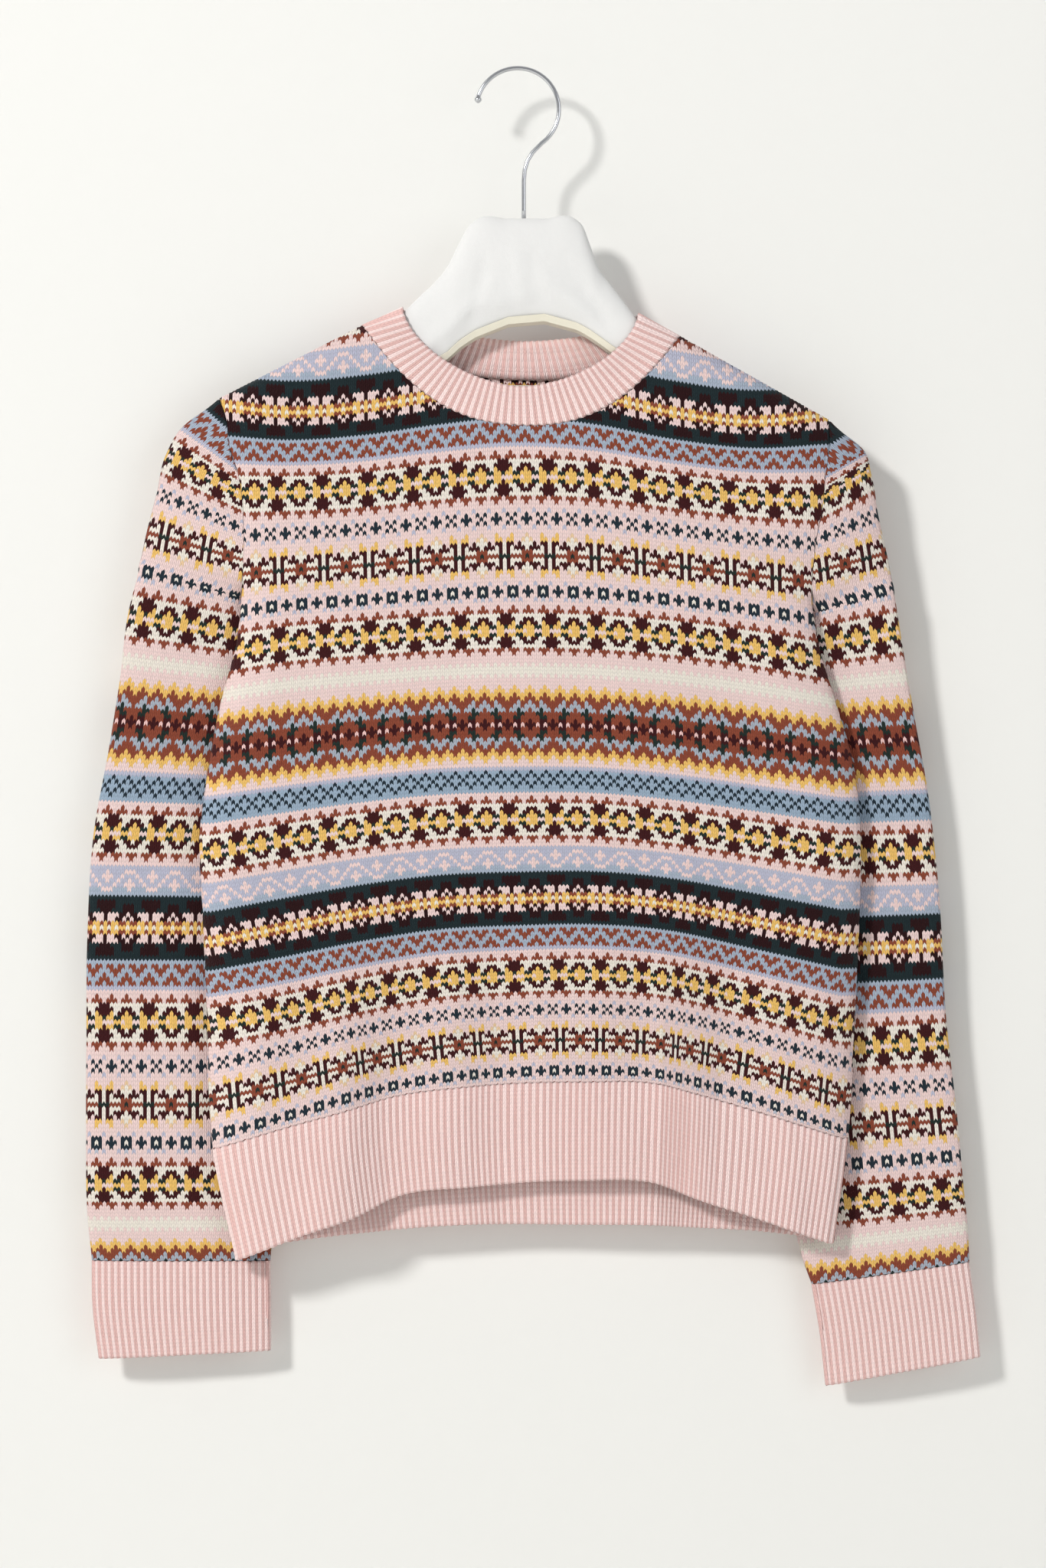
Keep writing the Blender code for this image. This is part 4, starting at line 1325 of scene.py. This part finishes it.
def relief_tree():
    """Lifts a lattice's points along their normals by its relief, and lets the cloth wander."""
    tree = bpy.data.node_groups.new("stitch_relief", "GeometryNodeTree")
    sockets = ("Geometry", "Geometry"), ("Relief", "Float"), ("Unevenness", "Float"), ("Material", "Material")
    for title, kind in sockets:
        tree.interface.new_socket(title, in_out="INPUT", socket_type="NodeSocket" + kind)
    tree.interface.new_socket("Geometry", in_out="OUTPUT", socket_type="NodeSocketGeometry")
    start = tree.nodes.new("NodeGroupInput").outputs
    lift = new_node(tree, "GeometryNodeInputNamedAttribute", Name="lift").outputs["Attribute"]
    place = tree.nodes.new("GeometryNodeInputPosition").outputs[0]
    wander = maths(tree, "SUBTRACT", noise(tree, place, WANDER_SCALE), 0.5)
    raised = times(tree, lift, start["Relief"])
    step = maths(tree, "ADD", raised, times(tree, wander, start["Unevenness"]))
    normal = tree.nodes.new("GeometryNodeInputNormal").outputs[0]
    offset = scaled(tree, normal, step)
    move = new_node(tree, "GeometryNodeSetPosition", Geometry=start["Geometry"], Offset=offset)
    real = new_node(tree, "GeometryNodeRealizeInstances", Geometry=move.outputs[0])
    paint = new_node(tree, "GeometryNodeSetMaterial", Geometry=real.outputs[0], Material=start["Material"])
    fill(tree, tree.nodes.new("NodeGroupOutput").inputs[0], paint.outputs[0])
    return tree


def relieved(item, relief, material):
    """Gives a lattice its relief and keeps the result as a plain mesh."""
    tree = bpy.data.node_groups.get("stitch_relief") or relief_tree()
    modifier = item.modifiers.new("relief", "NODES")
    modifier.node_group = tree
    unevenness = bpy.context.scene.jumper_knit.unevenness
    values = {"Relief": relief, "Unevenness": unevenness, "Material": material}
    for socket in tree.interface.items_tree:
        if socket.in_out == "INPUT" and socket.name in values:
            modifier[socket.identifier] = values[socket.name]
    mesh = evaluated_mesh(item)
    item.modifiers.clear()
    item.data = mesh
    if not mesh.materials:
        mesh.materials.append(material)
    mesh.name = item.name


def evaluated_mesh(item):
    """An object's shape with its modifiers, as a new mesh."""
    graph = bpy.context.evaluated_depsgraph_get()
    return bpy.data.meshes.new_from_object(item.evaluated_get(graph))


def place_piece(item, node):
    """Puts a piece on the object's body in place of a solid."""
    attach(item, "root")
    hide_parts(node)


def add_knit(name, points, first_course, wales, node, turned=False):
    """A panel or sleeve of plain knitting, in the bands' yarns."""
    letters = knitted(first_course + np.arange(len(points) - 1), wales)
    item = add_lattice(name, points, stockinette_lift(points.shape[:2]), letters, turned)
    relieved(item, bpy.context.scene.jumper_knit.stitch_relief, knit_material())
    place_piece(item, node)
    return item


def add_rib(name, points, outer_lines, node, turned=False, round_columns=False):
    """A ribbed wall: knit wales in the rib's own pink, the purl wales between them in a darker copy of it,
    painted shade in the rib's gaps.
    """
    lift = rib_lift(points.shape[:2], outer_lines)
    item = add_lattice(name, points, lift, np.array([["i", "o"]]), turned, True, round_columns)
    relieved(item, bpy.context.scene.jumper_knit.rib_relief, rib_material())
    place_piece(item, node)


class JUMPER_OT_knit_panels(bpy.types.Operator):
    """Knits the front and the back"""

    bl_idname = "jumper.knit_panels"
    bl_label = "Knit front and back"

    def execute(self, context):
        wales = np.arange(FIRST_WALE, LAST_WALE + 1)
        for side in ("front", "back"):
            points = panel_points(side)
            item = add_knit("jumper_" + side, points, FIRST_COURSE, wales, side + "_panel", side == "back")
        return {"FINISHED"}


class JUMPER_OT_knit_sleeves(bpy.types.Operator):
    """Knits both sleeves"""

    bl_idname = "jumper.knit_sleeves"
    bl_label = "Knit sleeves"

    def execute(self, context):
        wales = np.arange(-SLEEVE_WALES, SLEEVE_WALES + 1)
        for side in ("left", "right"):
            points = sleeve_points(side)
            item = add_knit("jumper_sleeve_" + side, points, FIRST_SLEEVE_COURSE, wales, "sleeve_" + side)
        return {"FINISHED"}


class JUMPER_OT_knit_ribs(bpy.types.Operator):
    """Knits the hem, cuffs and neckband in one by one rib"""

    bl_idname = "jumper.knit_ribs"
    bl_label = "Knit ribs"

    def execute(self, context):
        for side in ("front", "back"):
            points, lines = hem_points(side)
            add_rib("jumper_hem_" + side, points, lines, "hem_rib_" + side, side == "back")
        for side in ("left", "right"):
            points, lines = cuff_points(side)
            add_rib("jumper_cuff_" + side, points, lines, "cuff_" + side)
        points, lines = band_points()
        add_rib("jumper_neckband", points, lines, "neckband", True, True)
        return {"FINISHED"}


def hook_line():
    """The wire's centre line, from the tip over the crest to the foot of the stem."""
    centre = WIRE_RADIUS - HOOK_RADIUS
    bow = [radians(step) for step in BOW_ANGLES]
    line = [(HOOK_RADIUS * np.cos(a), centre + HOOK_RADIUS * np.sin(a)) for a in bow]
    line += [(bend.x, bend.z) for bend in HOOK_BENDS]
    return line + [(STEM_X, z) for z in (*STEM_HEIGHTS, HANGER_TOP)]


def add_skin(name, rings, material):
    """A closed surface through rings of points."""
    count = len(rings[0])
    faces = []
    for row in range(len(rings) - 1):
        for column in range(count):
            after = (column + 1) % count
            a, b = row * count, (row + 1) * count
            faces.append((a + column, b + column, b + after, a + after))
    faces.append(tuple(range(count)))
    faces.append(tuple((len(rings) - 1) * count + k for k in reversed(range(count))))
    mesh = bpy.data.meshes.new(name)
    mesh.from_pydata([point for ring in rings for point in ring], [], faces)
    cleaned(mesh)
    mesh.materials.append(material)
    return add_object(name, mesh)


class JUMPER_OT_cover_hanger(bpy.types.Operator):
    """Covers the hanger's shoulder form in jersey and binds its lower edge"""

    bl_idname = "jumper.cover_hanger"
    bl_label = "Cover hanger"

    def execute(self, context):
        rings = []
        for x in np.linspace(HANGER[0].x, HANGER[-1].x, COVER_RINGS):
            station = Station(x, *(float(along(HANGER, "x", name, x)) for name in Station._fields[1:]))
            ring = np.array(hanger_ring(station))
            out = np.sign(ring[:, 1] - HANGER_Y)
            ring[:, 1] += out * creased(COVER_CREASES, ring[:, 0], ring[:, 2])
            rings.append([tuple(point) for point in ring])
        item = add_skin("hanger_cover", rings, cover_material())
        place_piece(item, "hanger_body")
        for node in ("hanger_binding", "neck_label"):
            cad = frame["nodes"][node]
            cad.data.materials.clear()
            cad.data.materials.append(bpy.data.materials.get("woven_tape") or tape_material())
        return {"FINISHED"}


class JUMPER_OT_bend_hook(bpy.types.Operator):
    """Bends the hook from round wire, with a small ball at its tip"""

    bl_idname = "jumper.bend_hook"
    bl_label = "Bend hook"

    def execute(self, context):
        tube = bpy.data.curves.new("hanger_wire", "CURVE")
        tube.dimensions = "3D"
        tube.bevel_depth = WIRE_RADIUS
        tube.bevel_resolution = WIRE_ROUNDNESS
        tube.use_fill_caps = True
        line = hook_line()
        tip_x, tip_z = line[0]
        steps = range(len(BALL_SWELL) - 1, -1, -1)
        line = [(tip_x - BALL_STEP_X * k, tip_z - BALL_STEP_Z * k) for k in steps] + line[1:]
        wire = tube.splines.new("POLY")
        wire.points.add(len(line) - 1)
        for index, (point, (x, z)) in enumerate(zip(wire.points, line)):
            point.co = (x, 0.0, z, 1)
            point.radius = BALL_SWELL[index] if index < len(BALL_SWELL) else 1.0
        item = add_object("hanger_wire", tube)
        mesh = evaluated_mesh(item)
        bpy.data.objects.remove(item)
        bpy.data.curves.remove(tube)
        cleaned(mesh, WIRE_MERGE)
        mesh.materials.clear()
        mesh.materials.append(steel_material())
        place_piece(add_object("hanger_wire", mesh), "hanger_hook")
        return {"FINISHED"}


def stage_plane(name, corners, material):
    mesh = bpy.data.meshes.new(name)
    mesh.from_pydata(corners, [], [(0, 1, 2, 3)])
    mesh.materials.append(material)
    add_object(name, mesh)


def add_light(light, target, power):
    """A round area light that faces a point."""
    lamp = bpy.data.lights.new(light.name, "AREA")
    lamp.shape = "DISK"
    lamp.size = light.size
    lamp.energy = power
    lamp.color = light.color
    item = add_object(light.name, lamp)
    item.location = light.place
    item.rotation_euler = (Vector(target) - Vector(light.place)).to_track_quat("-Z", "Y").to_euler()


class JUMPER_OT_set_stage(bpy.types.Operator):
    """Sets the wall, floor, lights and camera"""

    bl_idname = "jumper.set_stage"
    bl_label = "Set stage"

    def execute(self, context):
        stage = context.scene.jumper_stage
        low, high = (Vector(corner) for corner in CAD_BOX)
        wall_y = high.y + stage.wall_gap
        floor_z = low.z - FLOOR_DROP
        wide, deep = WALL_REACH, FLOOR_REACH
        corners = ((-wide, floor_z), (wide, floor_z), (wide, WALL_TOP), (-wide, WALL_TOP))
        stage_plane("stage_wall", [(x, wall_y, z) for x, z in corners], wall_material(stage.wall))
        corners = ((-deep, -deep), (deep, -deep), (deep, deep), (-deep, deep))
        matt = plain_material("stage_floor", stage.wall, STAGE_ROUGHNESS)[0]
        stage_plane("stage_floor", [(x, y, floor_z) for x, y in corners], matt)
        for light in LIGHTS:
            add_light(light, STAGE_MIDDLE, stage.key_power * light.share)
        world = bpy.data.worlds.new("studio")
        world.use_nodes = True
        sky = world.node_tree.nodes["Background"]
        sky.inputs["Color"].default_value = SKY_COLOR
        sky.inputs["Strength"].default_value = SKY_STRENGTH
        context.scene.world = world
        context.scene.view_settings.view_transform = "Standard"
        lens = bpy.data.cameras.new("camera")
        lens.sensor_fit = "VERTICAL"
        lens.sensor_height = SENSOR_HEIGHT
        lens.lens = -CAMERA_PLACE[1] * SENSOR_HEIGHT / FRAME_HEIGHT
        camera = add_object("camera", lens)
        camera.location = CAMERA_PLACE
        camera.rotation_euler = (pi / 2, 0, 0)
        context.scene.camera = camera
        return {"FINISHED"}


class JUMPER_PT_sidebar(bpy.types.Panel):
    bl_idname = "JUMPER_PT_sidebar"
    bl_label = "Jumper on a hanger"
    bl_space_type = "VIEW_3D"
    bl_region_type = "UI"
    bl_category = "Jumper"

    def draw(self, context):
        for name in ("jumper_yarns", "jumper_knit", "jumper_stage"):
            settings = getattr(context.scene, name)
            for key in settings.bl_rna.properties.keys():
                if key not in ("rna_type", "name"):
                    self.layout.prop(settings, key)
        for step in STEPS:
            self.layout.operator(step.bl_idname)


SETTINGS = {"jumper_yarns": JumperYarns, "jumper_knit": JumperKnit, "jumper_stage": JumperStage}
STEPS = (
    JUMPER_OT_knit_panels,
    JUMPER_OT_knit_sleeves,
    JUMPER_OT_knit_ribs,
    JUMPER_OT_cover_hanger,
    JUMPER_OT_bend_hook,
    JUMPER_OT_set_stage,
)


def register():
    for kind in (*SETTINGS.values(), *STEPS, JUMPER_PT_sidebar):
        bpy.utils.register_class(kind)
    for name, kind in SETTINGS.items():
        setattr(bpy.types.Scene, name, bpy.props.PointerProperty(type=kind))


def unregister():
    for name in SETTINGS:
        delattr(bpy.types.Scene, name)
    for kind in reversed((*SETTINGS.values(), *STEPS, JUMPER_PT_sidebar)):
        bpy.utils.unregister_class(kind)


def main():
    register()
    bpy.ops.jumper.knit_panels()
    bpy.ops.jumper.knit_sleeves()
    bpy.ops.jumper.knit_ribs()
    bpy.ops.jumper.cover_hanger()
    bpy.ops.jumper.bend_hook()
    bpy.ops.jumper.set_stage()


if __name__ == "__main__":
    main()
